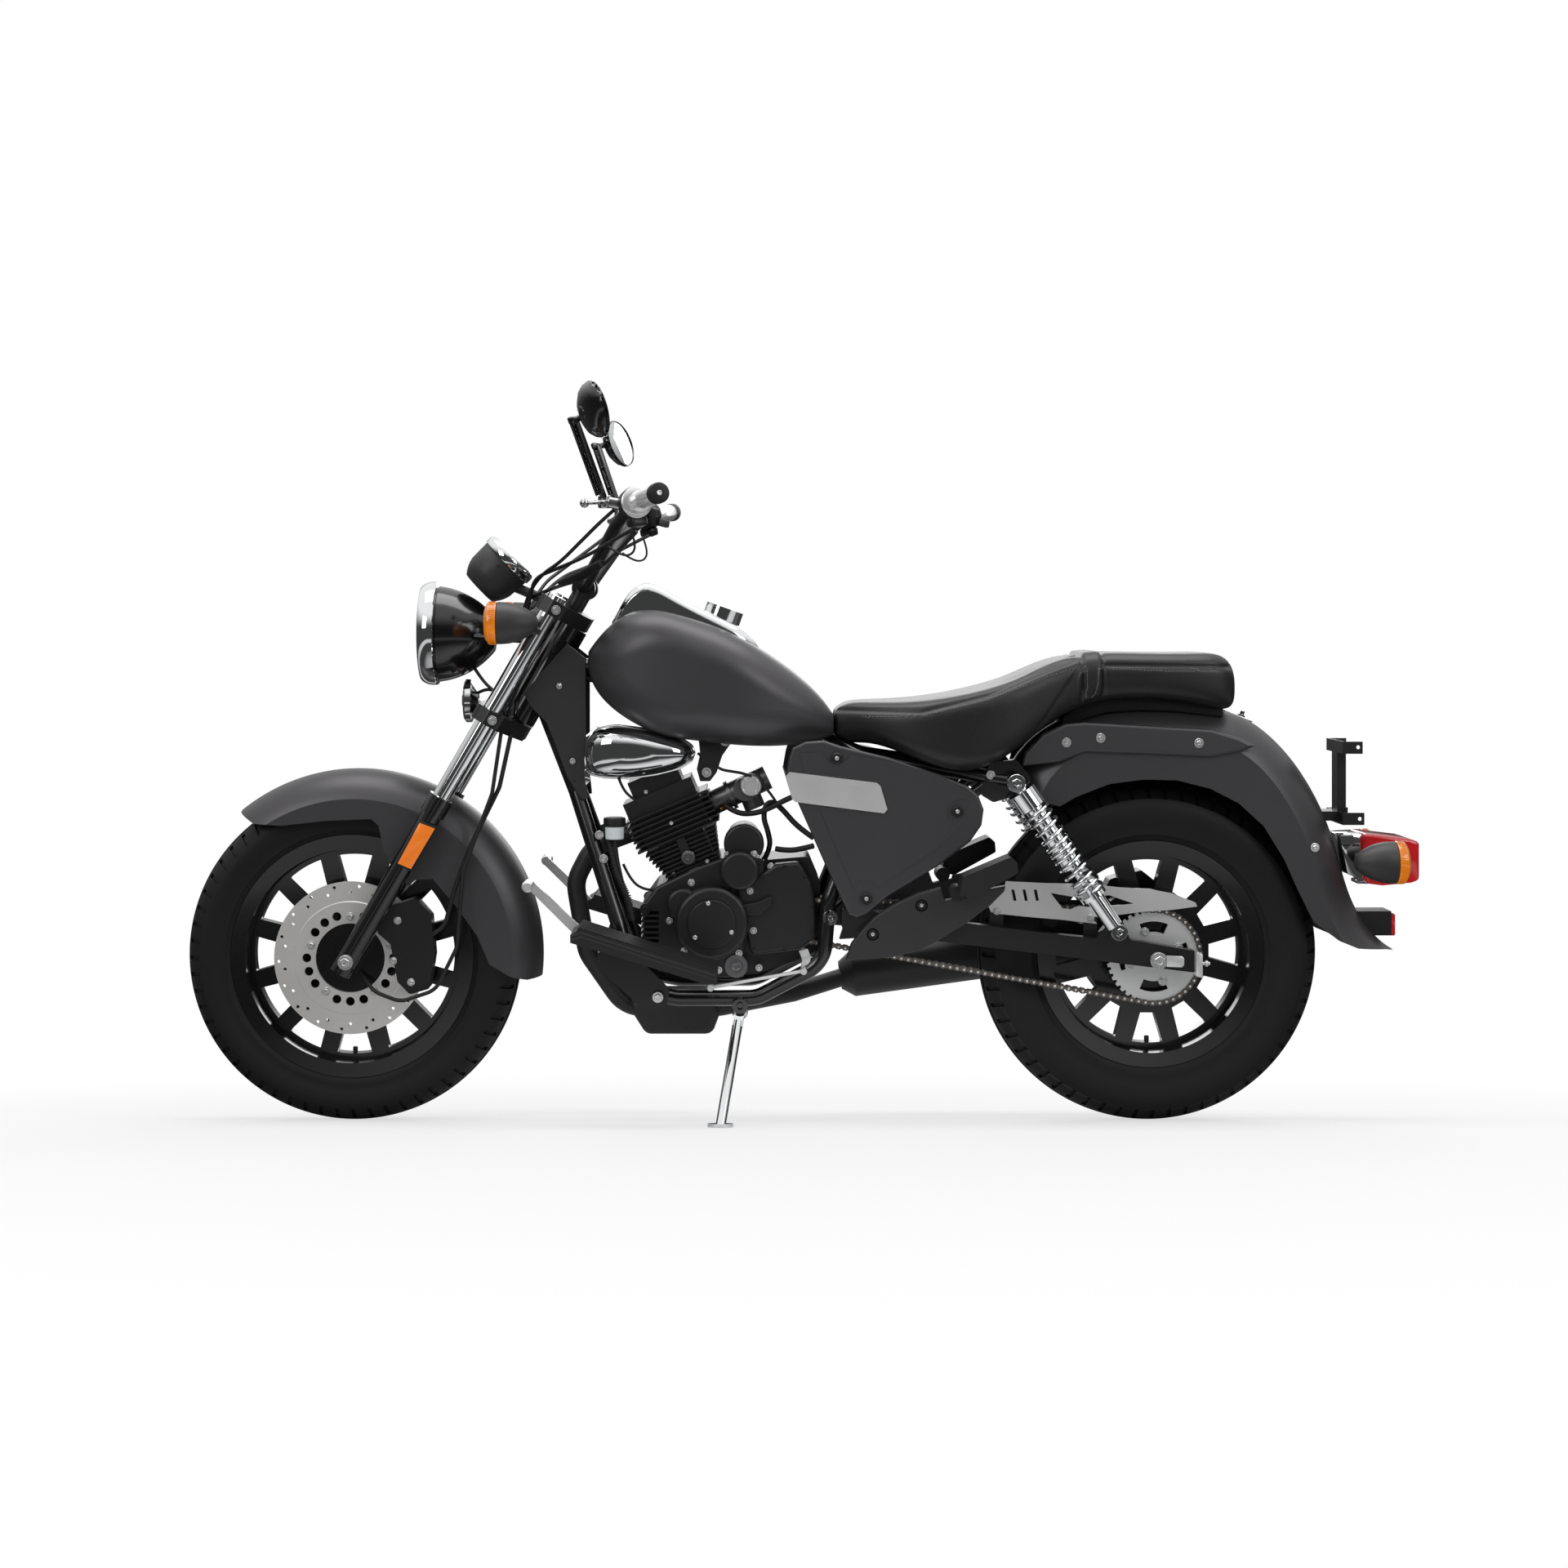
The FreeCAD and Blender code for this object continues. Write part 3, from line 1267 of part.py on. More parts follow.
def front_fender(sliders):
    shell = turned("front_fender_shell", [
        (150, -75), (286, -75), (286, 75, 81.0), (150, 75), (150, 72), (286, 72),
        (286, -72, -78.0), (150, -72),
    ])
    place(shell, Vector(-714, 0, 302))
    outline = [
        (-925, 560), (-894, 543), (-842, 540), (-762, 549), (-681, 552), (-668, 540), (-659, 496),
        (-645, 467), (-615, 432), (-601, 443), (-571, 445), (-527, 393), (-491, 342), (-469, 291),
        (-432, 269), (-403, 261), (-360, 264), (-300, 300), (-300, 700), (-925, 700),
    ]
    trim = padded("front_fender_trim", outline, -90, 180)
    doc.recompute()
    fender = shell.Shape.common(trim.Shape).cut(sliders)
    piece("front_fender", fender)


def lamps_and_gauges(clamps, tubes):
    bowl = turned("headlamp_bowl", [
        (0, 0), (32, 0), (88, 100, 150.0), (85, 102), (93.5, 104), (93.5, 113), (87, 132),
        (82, 132), (0, 142, 341.2),
    ])
    bowl.Placement = FreeCAD.Placement(Vector(-466, 0, 884), FreeCAD.Rotation(Vector(0, 0, 1), 90))
    gauge = turned("gauge_pod", [
        (0, 0), (34, 0), (49, 30, 60.0), (50, 66), (47.5, 67), (53, 68), (53, 79), (47, 88),
        (43, 88), (43, 85), (0, 85),
    ])
    tilt = FreeCAD.Rotation(Vector(0, 1, 0), Vector(0.73, 0, 0.685))
    gauge.Placement = FreeCAD.Placement(Vector(-495, 0, 967), tilt)
    bullet = turned("front_bullet", BULLET)
    bullet.Placement = FreeCAD.Placement(
        Vector(-376, -156, 904), FreeCAD.Rotation(Vector(0, 0, 1), 90))
    disc = turned("horn_disc", [(0, 0), (14, 0), (37, 10), (40, 12), (40, 22), (34, 26), (12, 24),
                                (10, 30), (0, 31)])
    disc.Placement = FreeCAD.Placement(Vector(-496, 0, 762), FreeCAD.Rotation(Vector(0, 0, 1), 90))
    doc.recompute()
    ears = [rod((-500, s * 62, 880), (-388, s * 96, 872), 6) for s in (-1, 1)]
    piece("headlamp", bowl.Shape.fuse(ears).cut(tubes))
    post = rod((-470, 0, 985), (-374, 0, 945), 9)
    piece("speedometer", gauge.Shape.fuse(post).cut(clamps))
    stalk = rod((-400, -150, 903), (-377, -100, 886), 8).cut(tubes)
    stalk = sorted(stalk.Solids, key=lambda solid: solid.CenterOfMass.y)[0]
    piece("front_indicators", pair_shape(bullet.Shape.fuse(stalk)))
    arm = rod((-505, 0, 762), (-455, 0, 738), 7)
    piece("horn", disc.Shape.fuse(arm).cut(clamps))


HALF_BAR = ((56, -15, -60), (188, -10.4, -215), (232.2, 2.2, -290), (261.9, 33.6, -418))


def bar_point(up, behind, side):
    """Point above the upper clamp, in the fork's own frame."""
    return along_steering(float(upper_clamp_height) + up, behind, side)


def handlebar(clamps):
    half = [bar_point(*corner) for corner in HALF_BAR]
    right = [Vector(point.x, -point.y, point.z) for point in half]
    bar = tube(right[::-1] + half, bar_radius, 60)
    shape = bar.fuse([rod(bar_point(0, -15, s * 45), bar_point(68, -15, s * 45), 15) for s in (-1, 1)])
    caps = [rod(bar_point(56, -15, s * 45 - 12), bar_point(56, -15, s * 45 + 12), 21) for s in (-1, 1)]
    shape = shape.fuse(caps).cut(clamps)
    piece("handlebar", shape)
    direction = (half[3] - half[2]).normalize()
    start = half[2] + direction * 8
    end = half[3]
    grip = lathe(start, direction, [
        (0, 0), (0, 27), (3, 27), (5, 17), (100, 16), ((end - start).Length - 4, 16),
        ((end - start).Length - 4, 17.5), ((end - start).Length + 10, 17.5),
        ((end - start).Length + 14, 13), ((end - start).Length + 14, 0),
    ]).cut(shape)
    piece("grips", pair_shape(grip))
    housing = lathe(start, direction, [(-32, 0), (-32, 22), (-29, 26), (-6, 28), (-2, 25), (-2, 0)])
    perch = rod((-205, -268, 1104), (-252, -282, 1112), 10)
    joint = rod((-252, -280, 1102), (-252, -280, 1122), 11)
    lever = flat_bar((-252, -284, 1112), (-262, -350, 1108), 15, 6).fuse([
        flat_bar((-261, -346, 1108), (-277, -424, 1104), 12, 6),
        rod((-277, -424, 1100), (-277, -424, 1108), 9)])
    knob = rod(Vector(*start) - direction * 20 + Vector(22, 0, -14), Vector(*start) - direction * 20
               + Vector(44, 0, -20), 8)
    switch = housing.fuse([perch, joint, lever, knob]).cut(shape).cut(grip)
    piece("hand_controls", pair_shape(switch))
    piece("mirrors", pair_shape(mirror(switch, shape)))


def mirror(switch, bar):
    """Pierced flat arm with a stub to an oval shell; the glass sits in a recess."""
    foot, top = Vector(-252, -290, 1118), Vector(-298, -334, 1249)
    along = (top - foot).normalize()
    arm = flat_bar(foot, top, 17, 7)
    for step in range(3):
        low = foot + along * (20 + 42 * step) - Vector(4, 0, 0)
        arm = arm.cut(flat_bar(low, low + along * 34, 5, 20))
    stub = rod(top - along * 6, (-276, -384, 1254), 6)
    major, minor, depth = float(mirror_half_width), float(mirror_half_height), float(mirror_depth)
    shell = Part.Face(Part.Wire(Part.Ellipse(Vector(), major, minor).toShape())).extrude(Vector(0, 0, depth))
    back = [edge for edge in shell.Edges if all(abs(vertex.Z) < 0.001 for vertex in edge.Vertexes)]
    shell = shell.makeFillet(depth * 0.6, back)
    recess = Part.Face(Part.Wire(Part.Ellipse(Vector(0, 0, depth - 2), major - 4, minor - 4).toShape()))
    shell = shell.cut(recess.extrude(Vector(0, 0, 5)))
    tilt = math.radians(float(mirror_tilt))
    glass = Vector(math.cos(tilt), 0, math.sin(tilt))
    shell.Placement = FreeCAD.Placement(
        Vector(-266, -428, 1256) - glass * (depth / 2),
        FreeCAD.Rotation(Vector(0, 1, 0), glass.cross(Vector(0, 1, 0)), glass, "ZXY"))
    return largest(shell.fuse([arm, stub]).cut(switch).cut(bar))


def brakes():
    outline = [(-662, 392), (-600, 412), (-572, 380), (-566, 310), (-575, 250), (-610, 240),
               (-632, 262), (-645, 330), (-668, 350)]
    block = side_plate(outline, -48, -88, 6)
    space = rod((FRONT_AXLE.x, -58, FRONT_AXLE.z), (FRONT_AXLE.x, -67, FRONT_AXLE.z), 142)
    flange = rod((FRONT_AXLE.x, -30, FRONT_AXLE.z), (FRONT_AXLE.x, -62, FRONT_AXLE.z), 83)
    caliper = block.cut(space).cut(flange).cut(NODES["fork_sliders"].Shape)
    caliper = sorted(caliper.Solids, key=lambda solid: solid.Volume)[-1]
    piece("front_caliper", caliper)
    rear_outline = [(640, 385), (662, 430), (720, 447), (748, 425), (742, 392), (700, 372), (662, 340)]
    rear_block = side_plate(rear_outline, 50, 100, 6)
    rear_space = rod((REAR_AXLE.x, 58, REAR_AXLE.z), (REAR_AXLE.x, 67, REAR_AXLE.z), 120)
    rear_flange = rod((REAR_AXLE.x, 30, REAR_AXLE.z), (REAR_AXLE.x, 62, REAR_AXLE.z), 83)
    rear = rear_block.cut(rear_space).cut(rear_flange).cut(NODES["swingarm"].Shape)
    rear = sorted(rear.Solids, key=lambda solid: solid.Volume)[-1]
    piece("rear_caliper", rear)
    reach = float(arm_inner) + float(arm_thickness)
    axle = rod((REAR_AXLE.x, -reach - 14, REAR_AXLE.z), (REAR_AXLE.x, reach + 14, REAR_AXLE.z), axle_radius)
    ends = [rod((REAR_AXLE.x, s * reach, REAR_AXLE.z), (REAR_AXLE.x, s * (reach + 14), REAR_AXLE.z), 14)
            for s in (-1, 1)]
    left = rod((REAR_AXLE.x, -float(chain_line) - 3.5, REAR_AXLE.z),
               (REAR_AXLE.x, -float(arm_inner), REAR_AXLE.z), 14)
    right = rod((REAR_AXLE.x, 60.5, REAR_AXLE.z), (REAR_AXLE.x, float(arm_inner), REAR_AXLE.z), 14)
    piece("rear_axle", axle.fuse(ends + [left, right]).cut(NODES["swingarm"].Shape))


def fork_hoses():
    cable = tube([
        (-702, -70, 276), (-672, -96, 246), (-625, -102, 229), (-562, -102, 250), (-524, -102, 327),
        (-514, -100, 461), (-462, -98, 600), (-446, -92, 712),
    ], 3.5, 40)
    hose = tube([
        (-580, -82, 340), (-548, -86, 362), (-529, -90, 430), (-504, -90, 500), (-450, -88, 610),
        (-430, -82, 704),
    ], 4, 40)
    held = [NODES["fork_clamps"].Shape, NODES["front_caliper"].Shape, NODES["fork_sliders"].Shape]
    lines = []
    for line in (cable, hose):
        for other in held:
            line = line.cut(other)
        lines.append(sorted(line.Solids, key=lambda solid: solid.Volume)[-1])
    piece("fork_hoses", Part.makeCompound(lines))


# Side stand

def stand_direction():
    """Unit vector from the stand's pivot to its foot, leaning out until the foot meets the floor."""
    lean = math.radians(float(lean_angle))
    forward = float(stand_forward) / float(stand_length)
    reach = float(stand_length) * math.sqrt(1 - forward * forward)
    rise = float(crown_radius) * (1 - math.cos(lean))
    drop = (float(stand_pivot_z) * math.cos(lean) - float(stand_pivot_y) * math.sin(lean) + rise)
    out = math.acos(drop / reach) + lean
    spread = math.sqrt(1 - forward * forward)
    return Vector(-forward, -spread * math.sin(out), -spread * math.cos(out))


def side_stand():
    pivot = Vector(float(stand_pivot_x), -float(stand_pivot_y), float(stand_pivot_z))
    direction = stand_direction()
    foot = pivot + direction * float(stand_length)
    axis = direction.cross(Vector(1, 0, 0)).normalize()
    knuckle = Part.makeCylinder(14, 12, pivot - axis * 6, axis)
    across = axis.cross(direction)
    tang_corners = [pivot - axis * 6 + across * -9, pivot - axis * 6 + across * 9,
                    pivot - axis * 6 + across * 9 + direction * 34,
                    pivot - axis * 6 + across * -9 + direction * 34]
    tang = Part.Face(Part.makePolygon(tang_corners + tang_corners[:1])).extrude(axis * 12)
    hole = Part.makeCylinder(5.3, 60, pivot - axis * 30, axis)
    leg = rod(pivot + direction * 24, foot, stand_tube_radius).fuse(tang)
    lean = math.radians(float(lean_angle))
    up = Vector(0, math.sin(lean), math.cos(lean))
    pad = Part.makeCylinder(22, 6, foot, up)
    below = Part.makeBox(200, 200, 60, Vector(-100, -100, -60))
    below.Placement = FreeCAD.Placement(foot, FreeCAD.Rotation(Vector(1, 0, 0), -float(lean_angle)))
    piece("side_stand", leg.fuse([knuckle, pad]).cut(hole).cut(below))
    pin = Part.makeCylinder(5, 30, pivot - axis * 15, axis)
    cheeks = []
    for sign in (-1, 1):
        cheek = Part.makeCylinder(14, 5, pivot + axis * (sign * 6.5 if sign > 0 else -11.5), axis)
        cheeks.append(cheek)
    arm = rod(pivot + axis * 9, (float(stand_pivot_x), -float(cradle_half_width), float(cradle_height)), 8)
    return pin, cheeks, arm, axis, pivot


def lean_on_stand():
    """Turn and shift every piece to the parked pose, its box centred over the origin."""
    lean = FreeCAD.Placement(Vector(), FreeCAD.Rotation(Vector(1, 0, 0), float(lean_angle)))
    box = FreeCAD.BoundBox()
    for thing in NODES.values():
        copy = thing.Shape.copy()
        copy.Placement = lean.multiply(copy.Placement)
        box.add(copy.optimalBoundingBox(False))
    shift = Vector(-box.Center.x, -box.Center.y, -box.ZMin)
    parked = FreeCAD.Placement(shift, lean.Rotation)
    for thing in NODES.values():
        thing.Placement = parked.multiply(thing.Placement)
    return parked


def build():
    wheels()
    drive_chain()
    frame_shape = frame()
    pin, cheeks, arm, axis, pivot = side_stand()
    gap = Part.makeCylinder(17, 13, pivot - axis * 6.5, axis)
    frame_shape = frame_shape.fuse([pin, arm] + cheeks).cut(gap).fuse(pin)
    case, block, engine_covers = engine()
    frame_shape = frame_shape.cut(case).cut(block)
    piece("frame", frame_shape)
    piece("swingarm", swingarm(frame_shape))
    doc.recompute()
    tank = tank_and_console(frame_shape)
    fender = rear_fender()
    covers()
    doc.recompute()
    seat([frame_shape, fender, tank, NODES["fender_rails"].Shape, NODES["side_covers"].Shape])
    tail()
    suspension()
    chain_guard()
    footrests()
    intake([frame_shape, case, block, tank, NODES["neck_covers"].Shape])
    exhaust([frame_shape, case, block, engine_covers])
    clamps, tubes, sliders = fork()
    front_fender(sliders)
    lamps_and_gauges(clamps, tubes)
    handlebar(clamps)
    brakes()
    fork_hoses()
    doc.recompute()
    parked = lean_on_stand()
    doc.recompute()
    return parked


def check_and_write():
    for thing in doc.Objects:
        bad = [word for word in thing.State if word in ("Invalid", "Error")]
        if bad:
            raise RuntimeError("%s: %s" % (thing.Label, bad))
    os.makedirs("parts", exist_ok=True)
    for name, thing in NODES.items():
        shape = thing.Shape
        if shape.isNull() or not shape.isValid() or not shape.Solids:
            raise RuntimeError("%s has no valid solid" % name)
        shape.exportStep("parts/%s.step" % name)


PARKED = build()
check_and_write()
print(len(NODES), "pieces written")
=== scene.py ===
# %% [markdown]
# # A cruiser motorcycle, dressed
# The machine is already built in solid pieces at its real size, and it stands parked, leaning on its
# side stand. This lesson gives each piece its finish and makes the parts that a solid model leaves
# plain: tread, seat, springs, lamps, mirrors, bolts. Nothing that was built before is moved.

# %% Load the machine
import json
import math

import bpy
from mathutils import Matrix, Vector


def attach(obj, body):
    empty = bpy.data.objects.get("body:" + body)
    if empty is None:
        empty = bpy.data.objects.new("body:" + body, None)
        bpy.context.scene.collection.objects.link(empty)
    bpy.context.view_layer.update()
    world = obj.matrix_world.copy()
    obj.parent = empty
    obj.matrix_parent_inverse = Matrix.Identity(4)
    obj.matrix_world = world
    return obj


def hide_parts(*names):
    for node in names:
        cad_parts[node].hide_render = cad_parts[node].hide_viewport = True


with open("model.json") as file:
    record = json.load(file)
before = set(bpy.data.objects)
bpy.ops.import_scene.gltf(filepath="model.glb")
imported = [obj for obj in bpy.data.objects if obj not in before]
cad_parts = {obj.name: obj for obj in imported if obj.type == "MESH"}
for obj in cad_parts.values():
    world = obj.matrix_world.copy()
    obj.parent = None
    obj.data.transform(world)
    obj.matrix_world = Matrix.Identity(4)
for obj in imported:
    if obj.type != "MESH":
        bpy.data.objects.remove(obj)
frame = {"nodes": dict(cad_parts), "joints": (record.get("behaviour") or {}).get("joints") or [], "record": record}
NODES = frame["nodes"]
JOINTS = {joint["name"]: joint for joint in frame["joints"]}
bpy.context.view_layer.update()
print("nodes loaded:", len(NODES))

# %% [markdown]
# The whole machine leans, so a piece that is drawn where it is parked would need awkward slanted
# numbers. It is easier to draw each piece on the upright machine, in metres, with the front towards
# -X and the middle of the wheelbase at X = 0, and to lean it at the end. The lean and the shift are
# read from the front wheel's axle, which the frame gives.

# %% Upright places and the lean
MM = 0.001
WHEELBASE = 1.440
FRONT_RADIUS = 0.302
REAR_RADIUS = 0.307
FRONT_AXLE = Vector((-WHEELBASE / 2, 0, FRONT_RADIUS))
REAR_AXLE = Vector((WHEELBASE / 2, 0, REAR_RADIUS))
axle_line = Vector(JOINTS["front_wheel_spin"]["axis"])
LEAN = math.atan2(-axle_line.z, -axle_line.y)
TURN = Matrix.Rotation(LEAN, 4, "X")
SHIFT = Vector(JOINTS["front_wheel_spin"]["pos_m"]) - TURN @ FRONT_AXLE
PARK = Matrix.Translation(SHIFT) @ TURN
print("lean in degrees:", round(math.degrees(LEAN), 2), "shift:", [round(part, 4) for part in SHIFT])

# %% [markdown]
# A finish is more than a colour. Paint has a fine orange peel, cast metal has grain, turned steel has
# rings, and handled parts are a little smoother in places. Each such effect is one node group, made
# once and used in many materials with other values.

# %% Node group helpers
def new_group(name, inputs, outputs):
    """A shader group with its sockets, its input node and its output node."""
    group = bpy.data.node_groups.new(name, "ShaderNodeTree")
    for label, kind, value in inputs:
        group.interface.new_socket(label, in_out="INPUT", socket_type=kind).default_value = value
    for label, kind in outputs:
        group.interface.new_socket(label, in_out="OUTPUT", socket_type=kind)
    return group, group.nodes.new("NodeGroupInput"), group.nodes.new("NodeGroupOutput")


def add_node(tree, kind, settings=(), values=()):
    """A node with its properties and its unlinked socket values set."""
    node = tree.nodes.new(kind)
    for label, value in dict(settings).items():
        setattr(node, label, value)
    for label, value in dict(values).items():
        node.inputs[label].default_value = value
    return node


def connect(tree, *links):
    """Link nodes, each link given as (node, its output, next node, its input)."""
    for source, output, target, socket in links:
        tree.links.new(source.outputs[output], target.inputs[socket])


FLOAT, COLOUR, VECTOR = "NodeSocketFloat", "NodeSocketColor", "NodeSocketVector"

# %% [markdown]
# Mottle varies a colour softly, as paint, rubber and metal do. It mixes the colour with a lighter or
# darker copy by a cloudy noise, and puts out a roughness that follows the same clouds.

# %% Mottle group
def build_mottle():
    group, start, end = new_group("mottle", [
        ("Colour", COLOUR, (0.1, 0.1, 0.1, 1)), ("Scale", FLOAT, 8.0), ("Amount", FLOAT, 0.2),
        ("Roughness", FLOAT, 0.5), ("Spread", FLOAT, 0.08)], [("Colour", COLOUR), ("Roughness", FLOAT)])
    place = add_node(group, "ShaderNodeTexCoord")
    clouds = add_node(group, "ShaderNodeTexNoise", values={"Detail": 6.0, "Roughness": 0.6})
    centred = add_node(group, "ShaderNodeMath", {"operation": "SUBTRACT"}, {1: 0.5})
    strength = add_node(group, "ShaderNodeMath", {"operation": "MULTIPLY"})
    gain = add_node(group, "ShaderNodeMath", {"operation": "ADD"}, {1: 1.0})
    tint = add_node(group, "ShaderNodeVectorMath", {"operation": "SCALE"})
    wander = add_node(group, "ShaderNodeMath", {"operation": "MULTIPLY"})
    rough = add_node(group, "ShaderNodeMath", {"operation": "ADD", "use_clamp": True})
    connect(group, (place, "Object", clouds, "Vector"), (start, "Scale", clouds, "Scale"),
            (clouds, "Fac", centred, 0), (centred, 0, strength, 0), (start, "Amount", strength, 1),
            (strength, 0, gain, 0), (start, "Colour", tint, 0), (gain, 0, tint, "Scale"),
            (centred, 0, wander, 0), (start, "Spread", wander, 1), (wander, 0, rough, 0),
            (start, "Roughness", rough, 1), (tint, 0, end, "Colour"), (rough, 0, end, "Roughness"))
    return group


MOTTLE = build_mottle()

# %% [markdown]
# Grain is the height of a rough skin: sand-cast metal, moulded plastic and leather differ only in its
# scale and in how much of it is cells and how much is noise.

# %% Grain group
def build_grain():
    group, start, end = new_group("grain", [("Scale", FLOAT, 400.0), ("Cells", FLOAT, 0.5)],
                                  [("Height", FLOAT)])
    place = add_node(group, "ShaderNodeTexCoord")
    cells = add_node(group, "ShaderNodeTexVoronoi", {"feature": "SMOOTH_F1"}, {"Smoothness": 0.6})
    noise = add_node(group, "ShaderNodeTexNoise", values={"Detail": 4.0})
    blend = add_node(group, "ShaderNodeMix", {"data_type": "FLOAT"})
    for texture in (cells, noise):
        connect(group, (place, "Object", texture, "Vector"), (start, "Scale", texture, "Scale"))
    connect(group, (start, "Cells", blend, "Factor"), (noise, "Fac", blend, "A"),
            (cells, "Distance", blend, "B"), (blend, "Result", end, "Height"))
    return group


GRAIN = build_grain()

# %% [markdown]
# Rings are the fine tool marks of turned steel, here around a wheel's axle line. The distance from
# that line feeds a noise that changes only with it, so the marks are true circles.

# %% Rings group
def build_rings():
    group, start, end = new_group("rings", [("Centre", VECTOR, (0, 0, 0)), ("Scale", FLOAT, 900.0)],
                                  [("Height", FLOAT)])
    place = add_node(group, "ShaderNodeTexCoord")
    offset = add_node(group, "ShaderNodeVectorMath", {"operation": "SUBTRACT"})
    lean = add_node(group, "ShaderNodeVectorRotate", {"rotation_type": "X_AXIS"}, {"Angle": -LEAN})
    flat = add_node(group, "ShaderNodeVectorMath", {"operation": "MULTIPLY"}, {1: (1, 0, 1)})
    away = add_node(group, "ShaderNodeVectorMath", {"operation": "LENGTH"})
    marks = add_node(group, "ShaderNodeTexNoise", {"noise_dimensions": "1D"}, {"Detail": 3.0})
    connect(group, (place, "Object", offset, 0), (start, "Centre", offset, 1),
            (offset, 0, lean, "Vector"), (lean, 0, flat, 0), (flat, 0, away, 0),
            (away, "Value", marks, "W"), (start, "Scale", marks, "Scale"), (marks, "Fac", end, "Height"))
    return group


RINGS = build_rings()

# %% [markdown]
# One function makes every opaque finish from the same recipe: mottled colour and roughness, and a
# bump from grain. What differs between paint, rubber, cast metal and chrome are the values.

# %% Finish function
COAT_ROUGHNESS = 0.06


def finish(name, colour, roughness, metallic=0.0, scale=9.0, amount=0.25, spread=0.1, coat=0.0,
           grain=0.0, grain_scale=900.0, cells=0.5, specular=0.5):
    """A material of one opaque finish; grain is the bump distance in millimetres."""
    made = bpy.data.materials.new(name)
    made.use_nodes = True
    tree = made.node_tree
    shader = tree.nodes["Principled BSDF"]
    mottle = add_node(tree, "ShaderNodeGroup", {"node_tree": MOTTLE}, {
        "Colour": (*colour, 1), "Scale": scale, "Amount": amount,
        "Roughness": roughness, "Spread": spread})
    connect(tree, (mottle, "Colour", shader, "Base Color"), (mottle, "Roughness", shader, "Roughness"))
    shader.inputs["Metallic"].default_value = metallic
    shader.inputs["Coat Weight"].default_value = coat
    shader.inputs["Coat Roughness"].default_value = COAT_ROUGHNESS
    shader.inputs["Specular IOR Level"].default_value = specular
    if grain:
        skin = add_node(tree, "ShaderNodeGroup", {"node_tree": GRAIN},
                        {"Scale": grain_scale, "Cells": cells})
        bump = add_node(tree, "ShaderNodeBump", values={"Strength": 1.0, "Distance": grain * MM})
        connect(tree, (skin, "Height", bump, "Height"), (bump, "Normal", shader, "Normal"))
    return made


# %% [markdown]
# Tank, fenders and side covers wear a matte graphite paint with a little metal flake. The frame and
# wheels are gloss black, the engine is rough cast and painted, and the bright parts are chrome,
# polished aluminium or plated steel.

# %% Opaque finishes
FINISHES = {
    "tyre": finish("tyre_rubber", (0.006, 0.006, 0.0065), 0.62, amount=0.4, grain=0.04,
                   grain_scale=1500, specular=0.3),
    "rubber": finish("black_rubber", (0.006, 0.006, 0.0065), 0.55, grain=0.03, grain_scale=1800),
    "gloss_black": finish("gloss_black_paint", (0.004, 0.004, 0.0045), 0.20, coat=0.5, spread=0.04,
                          grain=0.006, grain_scale=260, cells=0.0),
    "satin_black": finish("satin_black_paint", (0.007, 0.007, 0.0075), 0.36, grain=0.015,
                          grain_scale=700),
    "matte_paint": finish("matte_graphite_paint", (0.072, 0.069, 0.073), 0.40, metallic=0.6,
                          scale=5.0, amount=0.10, spread=0.05, grain=0.006, grain_scale=2600),
    "engine_black": finish("engine_black_paint", (0.009, 0.009, 0.0095), 0.38, grain=0.05,
                           grain_scale=1100, cells=0.3),
    "exhaust_black": finish("exhaust_heat_paint", (0.010, 0.010, 0.0105), 0.50, grain=0.02,
                            grain_scale=1500),
    "cover_plastic": finish("moulded_black_plastic", (0.020, 0.020, 0.0215), 0.50, grain=0.02,
                            grain_scale=1300, cells=0.8),
    "chrome": finish("chrome_plate", (0.80, 0.81, 0.82), 0.05, metallic=1.0, amount=0.04,
                     spread=0.03),
    "polished_aluminium": finish("polished_aluminium", (0.84, 0.84, 0.84), 0.26, metallic=0.72,
                                 amount=0.06, spread=0.08, grain=0.002, grain_scale=700),
    "cast_alloy": finish("bare_cast_alloy", (0.19, 0.19, 0.195), 0.40, metallic=0.9, amount=0.5,
                         grain=0.05, grain_scale=900),
    "zinc_steel": finish("zinc_plated_steel", (0.72, 0.73, 0.72), 0.32, metallic=0.6, amount=0.15,
                         grain=0.003, grain_scale=700),
    "bolt_steel": finish("bright_bolt_steel", (0.80, 0.81, 0.80), 0.24, metallic=0.85, amount=0.1),
    "chain_steel": finish("oiled_chain_steel", (0.19, 0.17, 0.15), 0.34, metallic=0.95, scale=60,
                          amount=0.5),
    "seat_leather": finish("seat_leather", (0.0085, 0.0085, 0.009), 0.42, grain=0.12,
                           grain_scale=520, cells=0.9, amount=0.2),
    "lamp_silver": finish("lamp_silver", (0.62, 0.62, 0.62), 0.16, metallic=1.0, amount=0.06),
}
print("opaque finishes:", len(FINISHES))

# %% [markdown]
# The brake discs are turned on a lathe. Their rings run around each wheel's own axle line, so each
# wheel gets a copy of the finish with its own centre.

# %% Turned steel
TOOL_MARK = 0.04


def turned_steel(name, centre):
    made = finish(name, (0.70, 0.69, 0.67), 0.34, metallic=0.6, amount=0.12)
    tree = made.node_tree
    marks = add_node(tree, "ShaderNodeGroup", {"node_tree": RINGS},
                     {"Centre": tuple(PARK @ centre), "Scale": 900.0})
    bump = add_node(tree, "ShaderNodeBump", values={"Strength": 1.0, "Distance": TOOL_MARK * MM})
    connect(tree, (marks, "Height", bump, "Height"),
            (bump, "Normal", tree.nodes["Principled BSDF"], "Normal"))
    return made


# %% [markdown]
# Lenses are coloured plastic with light passing through them, and mirrors are silvered glass.

